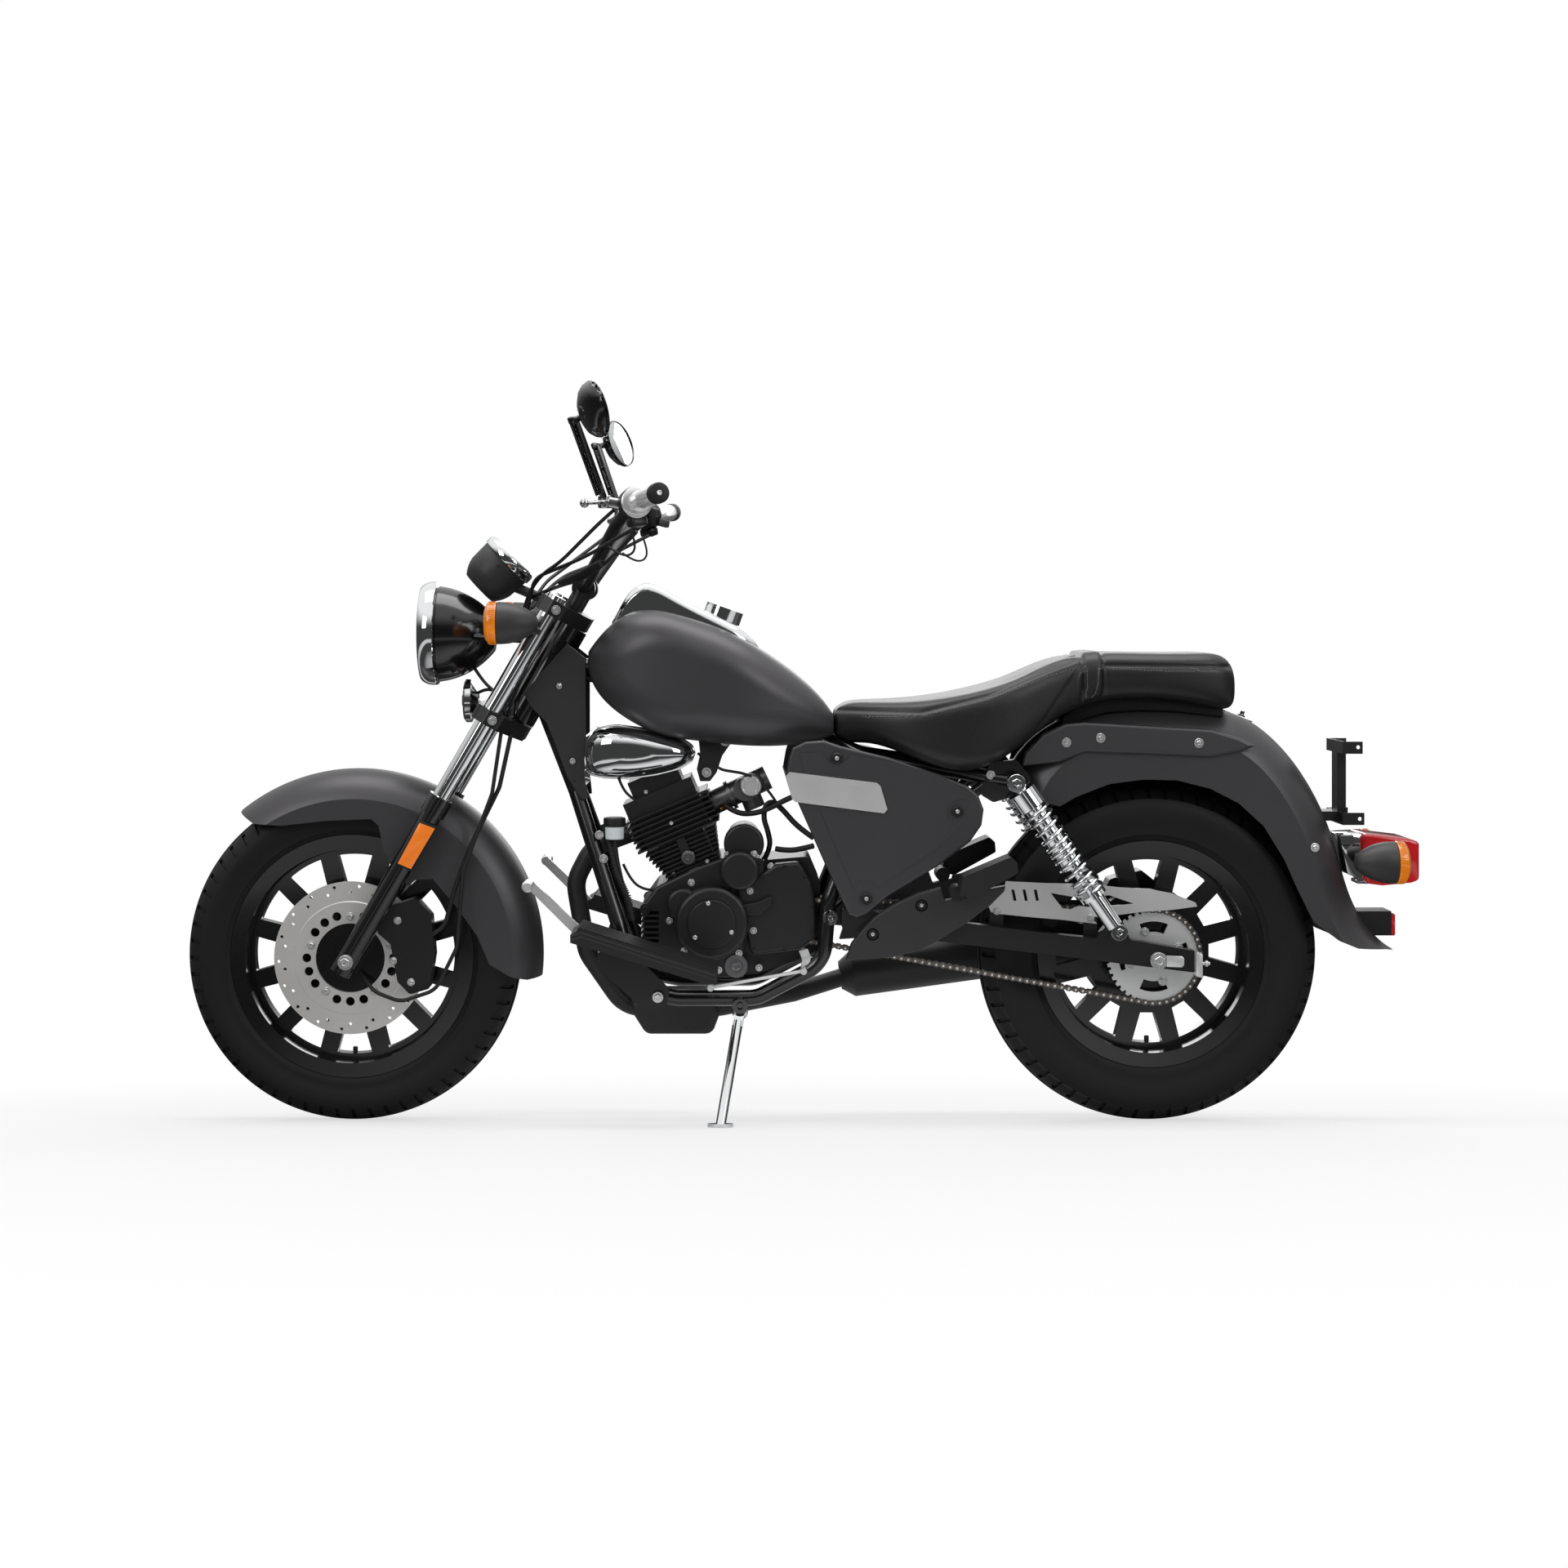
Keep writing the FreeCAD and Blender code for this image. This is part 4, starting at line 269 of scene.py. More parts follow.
# %% Lenses and glass
def lens(name, colour, transmission, roughness=0.12):
    """Coloured clear plastic; its colour varies a little by a cloudy noise."""
    made = finish(name, colour, roughness, amount=0.3, scale=40, spread=0.04)
    shader = made.node_tree.nodes["Principled BSDF"]
    shader.inputs["Transmission Weight"].default_value = transmission
    shader.inputs["IOR"].default_value = 1.49
    shader.inputs["Coat Weight"].default_value = 0.6
    return made


FINISHES["red_lens"] = lens("red_lens", (0.62, 0.012, 0.018), 0.25)
FINISHES["amber_lens"] = lens("amber_lens", (1.0, 0.30, 0.01), 0.25)
FINISHES["front_disc_steel"] = turned_steel("front_disc_steel", FRONT_AXLE)
FINISHES["rear_disc_steel"] = turned_steel("rear_disc_steel", REAR_AXLE)

# %% [markdown]
# The record gives each CAD node a slot, and the slot names its finish. The two discs take the copy
# that belongs to their own wheel.

# %% Finish the carried-over nodes
SLOT_OF = {row["node"]: row["material_slot"] for row in frame["record"]["subparts"]}
OWN_FINISH = {"front_disc": "front_disc_steel", "rear_disc": "rear_disc_steel"}


def wear(thing, finish_name):
    """Give an object one material in place of what it has."""
    thing.data.materials.clear()
    thing.data.materials.append(FINISHES[finish_name])


for node_name, node_object in NODES.items():
    wear(node_object, OWN_FINISH.get(node_name, SLOT_OF[node_name]))
print("finished nodes:", len(NODES))

# %% [markdown]
# The new pieces are drawn on the upright machine, in millimetres as on a drawing, and they share a
# few ways of making: turn an outline on a lathe, cut a plate from a side outline, bend a wire along
# points, stamp copies, and join. These helpers select, merge, place and modify a piece.

# %% Modelling basics
POLE = 0.02
LEFT = (0, -1, 0)


def fresh():
    """Nothing selected and vertices as the kind to pick, as a new primitive needs."""
    bpy.ops.object.select_all(action="DESELECT")
    bpy.context.tool_settings.mesh_select_mode = (True, False, False)


def activate(piece):
    """Only this piece selected, and worked on."""
    fresh()
    piece.select_set(True)
    bpy.context.view_layer.objects.active = piece


def close_mesh(reach=POLE * 4):
    """In edit mode, merge what coincides and turn all faces outwards."""
    bpy.ops.mesh.select_all(action="SELECT")
    bpy.ops.mesh.remove_doubles(threshold=reach * MM)
    bpy.ops.mesh.normals_make_consistent(inside=False)
    bpy.ops.object.mode_set(mode="OBJECT")


def turn_to(direction):
    """Matrix that points the Z axis along a direction."""
    return Vector(direction).to_track_quat("Z", "Y").to_matrix().to_4x4()


def put(place, direction=(0, 0, 1)):
    """Matrix that moves to a place in millimetres, with the Z axis along a direction."""
    return Matrix.Translation(Vector(place) * MM) @ turn_to(direction)


def modify(piece, kind, **settings):
    """Add a modifier with its settings and apply it."""
    activate(piece)
    modifier = piece.modifiers.new(kind, kind)
    for label, value in settings.items():
        setattr(modifier, label, value)
    bpy.ops.object.modifier_apply(modifier=modifier.name)


# %% [markdown]
# A lathe turns an outline round a line. Here a circle is extruded and resized, ring by ring. A ring of
# almost no size stands for a pole and is merged to a point.

# %% Lathe
def lathe(outline, base=(0, 0, 0), direction=(0, 0, 1), sides=40):
    """Turned piece from (distance along its line, radius) corners."""
    rings = [(along * MM, max(radius, POLE) * MM) for along, radius in outline]
    first = rings[0][0]
    fresh()
    bpy.ops.mesh.primitive_circle_add(vertices=sides, radius=rings[0][1])
    piece = bpy.context.object
    bpy.ops.object.mode_set(mode="EDIT")
    for (low, narrow), (high, wide) in zip(rings, rings[1:]):
        bpy.ops.mesh.extrude_region_move(TRANSFORM_OT_translate={"value": (0, 0, high - low)})
        bpy.ops.transform.resize(value=(wide / narrow, wide / narrow, 1),
                                 center_override=(0, 0, high - first))
    close_mesh()
    piece.data.transform(put(base, direction) @ Matrix.Translation((0, 0, first)))
    return piece


# %% [markdown]
# A plate is drawn as its outline from the side and extruded across the machine. Its edges are rounded
# where a real one is pressed or cast.

# %% Plates
def draw_side(outline, level):
    """In edit mode, one face with a side outline of (x, z) corners at a place across the machine."""
    fresh()
    bpy.ops.mesh.primitive_circle_add(vertices=len(outline), radius=1, fill_type="NGON")
    piece = bpy.context.object
    for vertex, (x, z) in zip(piece.data.vertices, outline):
        vertex.co = (x * MM, level * MM, z * MM)
    bpy.ops.object.mode_set(mode="EDIT")
    bpy.ops.mesh.select_all(action="SELECT")
    return piece


def plate(outline, near, far, bevel=0.0, steps=2):
    """Piece with a side outline, between two places across the machine."""
    piece = draw_side(outline, near)
    bpy.ops.mesh.extrude_region_move(TRANSFORM_OT_translate={"value": (0, (far - near) * MM, 0)})
    close_mesh()
    if bevel:
        round_edges(piece, bevel, steps)
    return piece


def round_edges(piece, width, steps=2):
    """Bevel every edge that turns by more than 30 degrees."""
    modify(piece, "BEVEL", width=width * MM, segments=steps)


# %% [markdown]
# Wires, cables and hoses are curves through points. A bevel makes the curve thick, and it is made a
# mesh then, because pieces are joined as meshes.

# %% Wires
def wire(points, radius, smooth=True, detail=4):
    """Round wire, cable or hose along points."""
    curve = bpy.data.curves.new("wire", "CURVE")
    curve.dimensions = "3D"
    curve.bevel_depth = radius * MM
    curve.bevel_resolution = 2
    curve.resolution_u = detail
    curve.use_fill_caps = True
    line = curve.splines.new("NURBS" if smooth else "POLY")
    line.points.add(len(points) - 1)
    for spot, place in zip(line.points, points):
        spot.co = (*(Vector(place) * MM), 1)
    if smooth:
        line.order_u = 3
        line.use_endpoint_u = True
    piece = bpy.data.objects.new("wire", curve)
    bpy.context.scene.collection.objects.link(piece)
    activate(piece)
    bpy.ops.object.convert(target="MESH")
    piece = bpy.context.object
    bpy.ops.object.mode_set(mode="EDIT")
    close_mesh(0.01)
    return piece


# %% [markdown]
# Like pieces are copied and joined into one. The machine is nearly the same on both sides, so most
# pieces are drawn on the left and joined with their mirror image.

# %% Copies
def copy_of(piece, move=Matrix()):
    """A copy with its own mesh, moved."""
    twin = piece.copy()
    twin.data = piece.data.copy()
    twin.data.transform(move)
    bpy.context.scene.collection.objects.link(twin)
    return twin


def join_all(pieces):
    """Several pieces as one, with the place and turn of the first."""
    activate(pieces[0])
    for piece in pieces:
        piece.select_set(True)
    bpy.ops.object.join()
    return bpy.context.object


def stamp(source, moves):
    """One piece copied to each place and joined."""
    copies = [copy_of(source, move) for move in moves]
    bpy.data.objects.remove(source)
    return join_all(copies)


def with_mirror(piece):
    """The piece and its mirror image on the machine's other side, as one."""
    twin = copy_of(piece, Matrix.Scale(-1, 4, (0, 1, 0)))
    twin.data.flip_normals()
    return join_all([piece, twin])


# %% [markdown]
# Grooves are faces that are picked by their place and pushed in. On a turned piece, that place is
# counted in equal sectors round its axis.

# %% Grooves
def sector(up, across, count):
    """Which of a number of equal sectors round an axis a direction lies in."""
    return int((math.atan2(up, across) / (2 * math.pi) + 1) * count)


def pick_faces(piece, wanted):
    """Enter edit mode with only those faces selected whose centre passes a test."""
    activate(piece)
    bpy.context.tool_settings.mesh_select_mode = (False, False, True)
    bpy.ops.object.mode_set(mode="EDIT")
    bpy.ops.mesh.select_all(action="DESELECT")
    bpy.ops.object.mode_set(mode="OBJECT")
    for face in piece.data.polygons:
        face.select = wanted(face.center)
    bpy.ops.object.mode_set(mode="EDIT")


def push_faces(piece, wanted, height):
    """Raise the chosen faces, or sink them where the height is negative."""
    pick_faces(piece, wanted)
    bpy.ops.mesh.extrude_region_shrink_fatten(TRANSFORM_OT_shrink_fatten={"value": height * MM})
    bpy.ops.object.mode_set(mode="OBJECT")


# %% [markdown]
# Last, every piece is dressed: it leans with the machine, and gets its name, its finish and the body
# that it rides on. Where it stands for a plain solid, that one is hidden.

# %% Dress
def dress(piece, name, body, slot, look=None, angle=38, hides=()):
    """Lean a finished piece onto the machine, and give it its name, body and finish."""
    activate(piece)
    bpy.ops.object.shade_smooth_by_angle(angle=math.radians(angle))
    piece.data.transform(PARK)
    piece.name = name
    piece.data.name = name
    wear(piece, look or slot)
    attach(piece, body)
    if hides:
        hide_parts(*hides)
    print(name, "faces:", len(piece.data.polygons))
    return piece


# %% [markdown]
# The steering axis comes from the joint. A point on the fork is given as a height along that axis
# from the wheel's level, a distance behind it and one across, as a fork maker would measure it.

# %% Places on the fork
UNPARK = PARK.inverted()
STEER_UP = (TURN.inverted() @ Vector(JOINTS["steering"]["axis"])).normalized()
STEER_BACK = Vector((STEER_UP.z, 0, -STEER_UP.x))
STEER_HEIGHT = 615
STEER_POINT = UNPARK @ Vector(JOINTS["steering"]["pos_m"]) / MM
UPPER_CLAMP = 728
LOWER_CLAMP = 502


def on_fork(height, behind=0.0, side=0.0):
    """Point that turns with the fork, in millimetres on the upright machine."""
    return STEER_POINT + STEER_UP * (height - STEER_HEIGHT) + STEER_BACK * behind + Vector((0, side, 0))


print("wheel level of the steering axis:", [round(part) for part in on_fork(0)])

# %% [markdown]
# A tyre is a turned form, but its tread is cut across the shoulders. The section runs from bead to
# bead: a bulging sidewall with a bead line, then the crown as an arc. One face in four round the
# shoulder is sunk, which gives 60 cuts a side, and those of the far side lie between them.

# %% Tyres
FRONT_RIM = 219
REAR_RIM = 204
CROWN_RADIUS = 60
CROWN_HALF_WIDTH = 46
CROWN_STEPS = 8
SIDEWALL = ((-0.15, 0.69), (-0.05, 0.72), (0.02, 0.78), (0.09, 0.84), (0.11, 0.875), (0.15, 0.89),
            (0.17, 0.885), (0.30, 0.95), (0.45, 0.995), (0.56, 1.0), (0.66, 0.975), (0.74, 0.90))
CUTS = 60
CUT_DEPTH = 4
CUT_INNER = 24
CUT_OUTER = 54
CUT_REACH = 30
RING_PLACE = 16
RING_HALF_WIDTH = 2.9
RING_REACH = 10


def tyre_outline(radius, half_width, rim_radius):
    """Section of a tyre as (place across, radius), right bead to left bead and back inside."""
    wall = radius - rim_radius
    side = [(half_width * share, rim_radius + wall * height) for height, share in SIDEWALL]
    turn = math.asin(CROWN_HALF_WIDTH / CROWN_RADIUS)
    crown = []
    for step in range(2 * CROWN_STEPS + 1):
        angle = turn * (step / CROWN_STEPS - 1)
        crown.append((CROWN_RADIUS * math.sin(angle), radius - CROWN_RADIUS * (1 - math.cos(angle))))
    right = [(-across, height) for across, height in side]
    return right + crown + side[::-1] + right[:1]


def build_tyre(name, body, axle, radius, half_width, rim_radius):
    """Tyre around an axle, with cuts in both shoulders and a ring on each side of its middle."""
    piece = lathe(tyre_outline(radius, half_width, rim_radius), axle / MM, LEFT, CUTS * 4)

    def is_cut(place):
        away = (place - axle) / MM
        phase = 0 if away.y < 0 else 2
        return (sector(away.z, away.x, CUTS * 4) % 4 == phase and CUT_INNER < abs(away.y) < CUT_OUTER
                and away.xz.length > radius - CUT_REACH)

    def is_ring(place):
        away = (place - axle) / MM
        return abs(abs(away.y) - RING_PLACE) < RING_HALF_WIDTH and away.xz.length > radius - RING_REACH

    push_faces(piece, is_cut, -CUT_DEPTH)
    push_faces(piece, is_ring, -CUT_DEPTH)
    return dress(piece, name, body, "tyre", angle=30, hides=(name.replace("_tread", ""),))


build_tyre("front_tyre_tread", "front_wheel", FRONT_AXLE, 302, 56, FRONT_RIM)
build_tyre("rear_tyre_tread", "rear_wheel", REAR_AXLE, 307, 66, REAR_RIM)

# %% [markdown]
# The seat is foam under stretched leather. Every point near a seam line is pulled in by a soft groove,
# and the strap between the rider's and the passenger's part stands out a little. One function says how
# far a point of the skin moves.

# %% Seams of the seat
STRAP = (589, 626)
RIDER_SEAM = ((150, 748), (301, 747), (416, 776), (500, 811), (589, 845))
PASSENGER_SEAM = ((626, 829), (860, 826))
FLANK_SEAM = ((500, 701.4), (589, 830.45))
SEAM_WIDTH = 4.0
SEAM_DEPTH = 3.8
SEAMS = ((RIDER_SEAM, SEAM_WIDTH, 45), (PASSENGER_SEAM, SEAM_WIDTH, 45),
         (FLANK_SEAM, SEAM_WIDTH * 1.5, 70))
STRAP_RISE = 4.0
STRAP_HEM = 3


def height_on(line, x):
    """Height of a line of (x, z) corners at one x, or None past its ends."""
    for (start, low), (end, high) in zip(line, line[1:]):
        if start <= x <= end:
            return low + (high - low) * (x - start) / (end - start)
    return None


def groove(distance, width):
    """Depth of a seam's soft groove at a distance from its line."""
    return SEAM_DEPTH * math.exp(-(distance / width) ** 2)


def seam_pull(x, z, side):
    """How far a point of the seat's skin goes in, in millimetres; negative stands out."""
    pulls = [groove(x - edge, SEAM_WIDTH) for edge in STRAP]
    for line, width, nearest in SEAMS:
        height = height_on(line, x)
        if height is not None and side > nearest:
            pulls.append(groove(z - height, width))
    on_strap = STRAP[0] + STRAP_HEM < x < STRAP[1] - STRAP_HEM
    return max(pulls) - (STRAP_RISE if on_strap else 0)


# %% [markdown]
# The seat's solid has the right size, so a copy of it is made into an even skin of small faces and
# smoothed, as the foam would round it. The seams are then drawn into that skin, on all but its
# underside.

# %% Seat skin
SEAT_VOXEL = 4.0
FOAM_PASSES = 22
UNDERSIDE = -0.6


def build_seat():
    seat = copy_of(NODES["seat"], UNPARK)
    seat.hide_render = False
    activate(seat)
    bpy.ops.object.mode_set(mode="EDIT")
    close_mesh(0.05)
    modify(seat, "REMESH", mode="VOXEL", voxel_size=SEAT_VOXEL * MM)
    modify(seat, "SMOOTH", factor=0.5, iterations=FOAM_PASSES)
    vertices = seat.data.vertices
    normals = [vertex.normal.copy() for vertex in vertices]
    for vertex, normal in zip(vertices, normals):
        if normal.z > UNDERSIDE:
            spot = vertex.co / MM
            vertex.co -= normal * seam_pull(spot.x, spot.z, abs(spot.y)) * MM
    return seat


seat_skin = build_seat()
print("seat skin faces:", len(seat_skin.data.polygons))

# %% [markdown]
# Stitches follow the seams. Each is a short thread, laid on the skin at the nearest point of it.

# %% Stitches
STITCH_STEP = 5.5
STITCH_LIFT = 0.2
SHORTEST_STITCH = 2
ABOVE_SEAM = 4.2
SEAM_MARGIN = 2
WELL_OUTSIDE = 160
STRAP_FOOT = 738
STRAP_STITCHES = 20
STRAP_MARGIN = 7


def seam_row(line, side):
    """Evenly stepped targets beside the seat, along a seam line."""
    row = []
    x = line[0][0] + SEAM_MARGIN
    while x < line[-1][0] - SEAM_MARGIN:
        row.append(Vector((x, side, height_on(line, x) + ABOVE_SEAM)))
        x += STITCH_STEP
    return row


def strap_row(x, side):
    """Targets beside the seat, up one edge of the strap."""
    return [Vector((x, side, STRAP_FOOT + STITCH_STEP * step)) for step in range(STRAP_STITCHES)]


def spots_on(skin, row):
    """The skin's nearest points to a row of targets, just above its surface."""
    spots = []
    for target in row:
        found, place, normal, _ = skin.closest_point_on_mesh(target * MM)
        if found:
            spots.append(place + normal * STITCH_LIFT * MM)
    return spots


def build_stitches(skin):
    thread = lathe([(-1.7, 0), (-1.3, 0.45), (1.3, 0.45), (1.7, 0)], sides=6)
    sides = (-WELL_OUTSIDE, WELL_OUTSIDE)
    rows = [(seam_row(line, side), 0) for line in (RIDER_SEAM, PASSENGER_SEAM) for side in sides]
    rows += [(strap_row(x, side), SHORTEST_STITCH * MM)
             for x in (STRAP[0] + STRAP_MARGIN, STRAP[1] - STRAP_MARGIN) for side in sides]
    moves = []
    for row, shortest in rows:
        spots = spots_on(skin, row)
        moves += [Matrix.Translation(first) @ turn_to(second - first)
                  for first, second in zip(spots, spots[1:]) if (second - first).length >= shortest]
    print("stitches:", len(moves))
    return stamp(thread, moves)


FINISHES["thread"] = finish("seat_thread", (0.17, 0.17, 0.18), 0.6, amount=0.3, scale=200)
dress(build_stitches(seat_skin), "seat_stitches", "chassis", "seat_leather", "thread")
dress(seat_skin, "seat_cover", "chassis", "seat_leather", angle=80, hides=("seat",))

# %% [markdown]
# A coil spring is one wire bent round a cylinder. A loop gives the points of the helix; its ends are
# closed and ground flat on a real spring, so the last turns lie closer together.

# %% Rear springs
SHOCK_TOP = Vector((466, -145, 622))
SHOCK_LOW = Vector((647, -145, 360))
SPRING_START = 54
SPRING_CUT = 82
COILS = 11.5
COIL_RADIUS = 23.5
COIL_WIRE = 3.9
COIL_STEPS = 20
END_CROWDING = 0.0175


def build_springs():
    along = (SHOCK_LOW - SHOCK_TOP).normalized()
    length = (SHOCK_LOW - SHOCK_TOP).length - SPRING_CUT - SPRING_START - 2 * COIL_WIRE
    move = turn_to(along)
    points = []
    total = int(COILS * COIL_STEPS)
    for step in range(total + 1):
        share = step / total
        eased = share - END_CROWDING * math.sin(4 * math.pi * share)
        angle = 2 * math.pi * step / COIL_STEPS
        spot = Vector((COIL_RADIUS * math.cos(angle), COIL_RADIUS * math.sin(angle),
                       SPRING_START + COIL_WIRE + length * eased))
        points.append(SHOCK_TOP + move @ spot)
    piece = with_mirror(wire(points, COIL_WIRE, smooth=False))
    dress(piece, "rear_spring_coils", "chassis", "chrome", angle=60, hides=("shock_springs",))


build_springs()

# %% [markdown]
# The pins of a roller chain sit on the pitch line, which runs round both sprockets: two straight runs
# that touch both circles, and an arc at each end. The pins are spread evenly along it.

# %% Pitch line of the chain
PITCH = 12.7
FRONT_SPROCKET = Vector((45, 0, 378))
FRONT_TEETH = 16
REAR_TEETH = 41
FRONT_PITCH_RADIUS = PITCH * FRONT_TEETH / (2 * math.pi)
REAR_PITCH_RADIUS = PITCH * REAR_TEETH / (2 * math.pi)


def on_circle(centre, radius, angle):
    """Point of a circle seen from the side, with its angle in radians from +X upwards."""
    return centre + Vector((math.cos(angle), 0, math.sin(angle))) * radius


def chain_pins():
    """Pin places along the pitch line, evenly spaced."""
    rear = REAR_AXLE / MM
    line = rear - FRONT_SPROCKET
    along = line.normalized()
    normal = Vector((-along.z, 0, along.x))
    tilt = (REAR_PITCH_RADIUS - FRONT_PITCH_RADIUS) / line.length
    over = -along * tilt + normal * math.sqrt(1 - tilt * tilt)
    under = -along * tilt - normal * math.sqrt(1 - tilt * tilt)
    upper = (FRONT_SPROCKET + over * FRONT_PITCH_RADIUS, rear + over * REAR_PITCH_RADIUS)
    lower = (rear + under * REAR_PITCH_RADIUS, FRONT_SPROCKET + under * FRONT_PITCH_RADIUS)
    first = math.atan2(over.z, over.x)
    last = math.atan2(under.z, under.x)
    run = line.length * math.sqrt(1 - tilt * tilt)
    rear_end = run + REAR_PITCH_RADIUS * (first - last)
    lower_end = rear_end + run
    total = lower_end + FRONT_PITCH_RADIUS * (2 * math.pi - first + last)
    count = 2 * round(total / PITCH / 2)
    pins = []
    for index in range(count):
        way = total * index / count
        if way < run:
            pins.append(upper[0].lerp(upper[1], way / run))
        elif way < rear_end:
            pins.append(on_circle(rear, REAR_PITCH_RADIUS, first - (way - run) / REAR_PITCH_RADIUS))
        elif way < lower_end:
            pins.append(lower[0].lerp(lower[1], (way - rear_end) / run))
        else:
            pins.append(on_circle(FRONT_SPROCKET, FRONT_PITCH_RADIUS,
                                  last - (way - lower_end) / FRONT_PITCH_RADIUS))
    return pins


# %% [markdown]
# A chain has inner and outer links by turns, each with a pair of waisted plates and a roller. Both
# kinds are modelled once, then copied from pin to pin and turned towards the next one.

# %% Chain links
CHAIN_LINE = -81
PLATE_HEIGHT = 5.8
PLATE_WAIST = 2.9
PLATE_THICKNESS = 1.5


def link_outline():
    """Plate with two round ends and a waist, from pin to pin along +X."""
    corners = []
    for centre, start in ((PITCH, -60), (0, 120)):
        for step in range(5):
            angle = math.radians(start + 30 * step)
            corners.append((centre + PLATE_HEIGHT * math.cos(angle), PLATE_HEIGHT * math.sin(angle)))
        corners.append((PITCH / 2, PLATE_WAIST if start < 0 else -PLATE_WAIST))
    return corners


def build_chain():
    pins = chain_pins()
    outline = link_outline()
    roller = lathe([(-4, 0), (-4, 4.2), (4, 4.2), (4, 0)], (0, CHAIN_LINE, 0), LEFT, 10)
    pin = lathe([(-8, 0), (-8, 1.9), (8, 1.9), (8, 0)], (0, CHAIN_LINE, 0), LEFT, 8)
    inner, outer = [[plate(outline, CHAIN_LINE + place, CHAIN_LINE + place + PLATE_THICKNESS)
                     for place in places] for places in ((4, -5.5), (5.7, -7.2))]
    links = [join_all([copy_of(roller), *inner]), join_all([roller, pin, *outer])]
    copies = []
    for index, place in enumerate(pins):
        way = pins[(index + 1) % len(pins)] - place
        turn = Matrix.Rotation(-math.atan2(way.z, way.x), 4, "Y")
        copies.append(copy_of(links[index % 2], Matrix.Translation(place * MM) @ turn))
    for link in links:
        bpy.data.objects.remove(link)
    print("links:", len(copies))
    dress(join_all(copies), "roller_chain", "chassis", "chain_steel", hides=("drive_chain",))
    head = lathe([(7.9, 0), (7.9, 2.3), (8.4, 2.1), (8.8, 1), (8.8, 0)], (0, CHAIN_LINE, 0), LEFT, 10)
    heads = stamp(head, [Matrix.Translation(place * MM) for place in pins])
    dress(heads, "chain_pin_heads", "chassis", "chain_steel", "zinc_steel")


build_chain()

# %% [markdown]
# Bolts catch the light all over a dark machine. One hexagon head on its washer is modelled, then
# stamped at each place, and each group of like bolts on one body is one piece.

# %% Bolts
def bolt(across, height, washer):
    """Hexagon head on a round washer, pointing up from the origin."""
    base = 1.8 if washer else 0
    head = lathe([(base, 0), (base, across), (base + height - 1, across), (base + height, across - 1),
                  (base + height, across * 0.55), (base + height - 0.8, across * 0.45),
                  (base + height - 0.8, 0)], sides=6)
    if not washer:
        return head
    ring = lathe([(0, 0), (0, washer), (1.4, washer), (1.8, washer - 0.4), (1.8, 0)], sides=28)
    return join_all([head, ring])


def fasten(name, body, places, across=5.5, height=4, washer=8, look="bolt_steel", both=True,
           direction=LEFT):
    """Stamp bolts at places on the left, and on the right too where both sides have them."""
    piece = stamp(bolt(across, height, washer), [put(place, direction) for place in places])
    if both:
        piece = with_mirror(piece)
    return dress(piece, name, body, "zinc_steel", look, angle=25)


def bolt_circle(centre, radius, turns):
    """Bolt places on a circle around a point, at angles in degrees."""
    return [tuple(on_circle(Vector(centre), radius, math.radians(turn))) for turn in turns]


def cup_screws(name, places, radius, look="rubber"):
    """Dark cup with a bright screw in it, which holds a cover."""
    cup = stamp(lathe([(0, 0), (0, radius), (2.5, radius), (4, radius - 1.5), (4, radius * 0.62),
                       (2.2, radius * 0.55), (2.2, 0)], sides=32),
                [put(place, LEFT) for place in places])
    dress(with_mirror(cup), name + "_cups", "chassis", "rubber", look)
    spots = [(x, y - 2.2, z) for x, y, z in places]
    fasten(name + "_screws", "chassis", spots, across=4.4, height=2.6, washer=0)


# %% [markdown]
# Each group is one call with its name, its body, the places of its bolts and their sizes.

# %% The bolts, group by group
cup_screws("side_cover", [(151, -138.5, 665), (364, -138.5, 571), (203, -138.5, 417)], 10)
cup_screws("heel_guard", [(300, -141, 406), (214, -141, 355)], 9.5)
fasten("fender_rail_bolts", "chassis", [(561, -104, 691), (622, -104, 699), (797, -104, 690)],
       across=5, height=3.4, washer=8.5)
fasten("chain_guard_bolts", "chassis", [(437, -103, 391), (604, -103, 378)], across=4.6, washer=7,
       both=False)
fasten("shock_top_bolts", "chassis", [(466, -157, 622)], across=9, height=5, washer=16, look="chrome")
fasten("shock_low_bolts", "chassis", [(647, -157, 360)], across=8, height=5, washer=14, look="chrome")
fasten("fender_side_bolts", "chassis", [(425, -114, 634), (1006, -93, 503)], across=5, washer=8)
fasten("pivot_bolts", "chassis", [(140, -124, 382)], across=8, height=6, washer=13, look="chrome")
fasten("bracket_bolts", "chassis", [(-164, -181, 250)], across=7, height=5, washer=9.5)
fasten("rear_axle_nuts", "chassis", [(720, -139, 307)], across=10, height=8, washer=15)
fasten("front_axle_bolts", "fork", [(-720, -124.5, 302)], across=9, height=6, washer=13)
fasten("sprocket_bolts", "rear_wheel", bolt_circle((720, -84, 307), 47, range(20, 380, 90)), across=6,
       height=5, washer=8, both=False)
fasten("disc_bolts", "front_wheel", bolt_circle((-720, -66.5, 302), 74, range(18, 378, 72)), across=5.5,
       height=4, washer=7.5, both=False)
fasten("caliper_bolts", "fork", [(-632, -88, 372), (-640, -88, 300), (-608, -88, 262)], across=5.5,
       washer=7, both=False)
fasten("engine_cover_bolts", "chassis", bolt_circle((-70, -133, 371), 37.6, (100, 218, 338)), across=4.4,
       height=2.4, washer=0, look="polished_aluminium", both=False)
fasten("starter_bolts", "chassis", [(-44, -88, 492), (12, -88, 486), (-24, -94, 436)], across=4.2,
       washer=0, both=False)
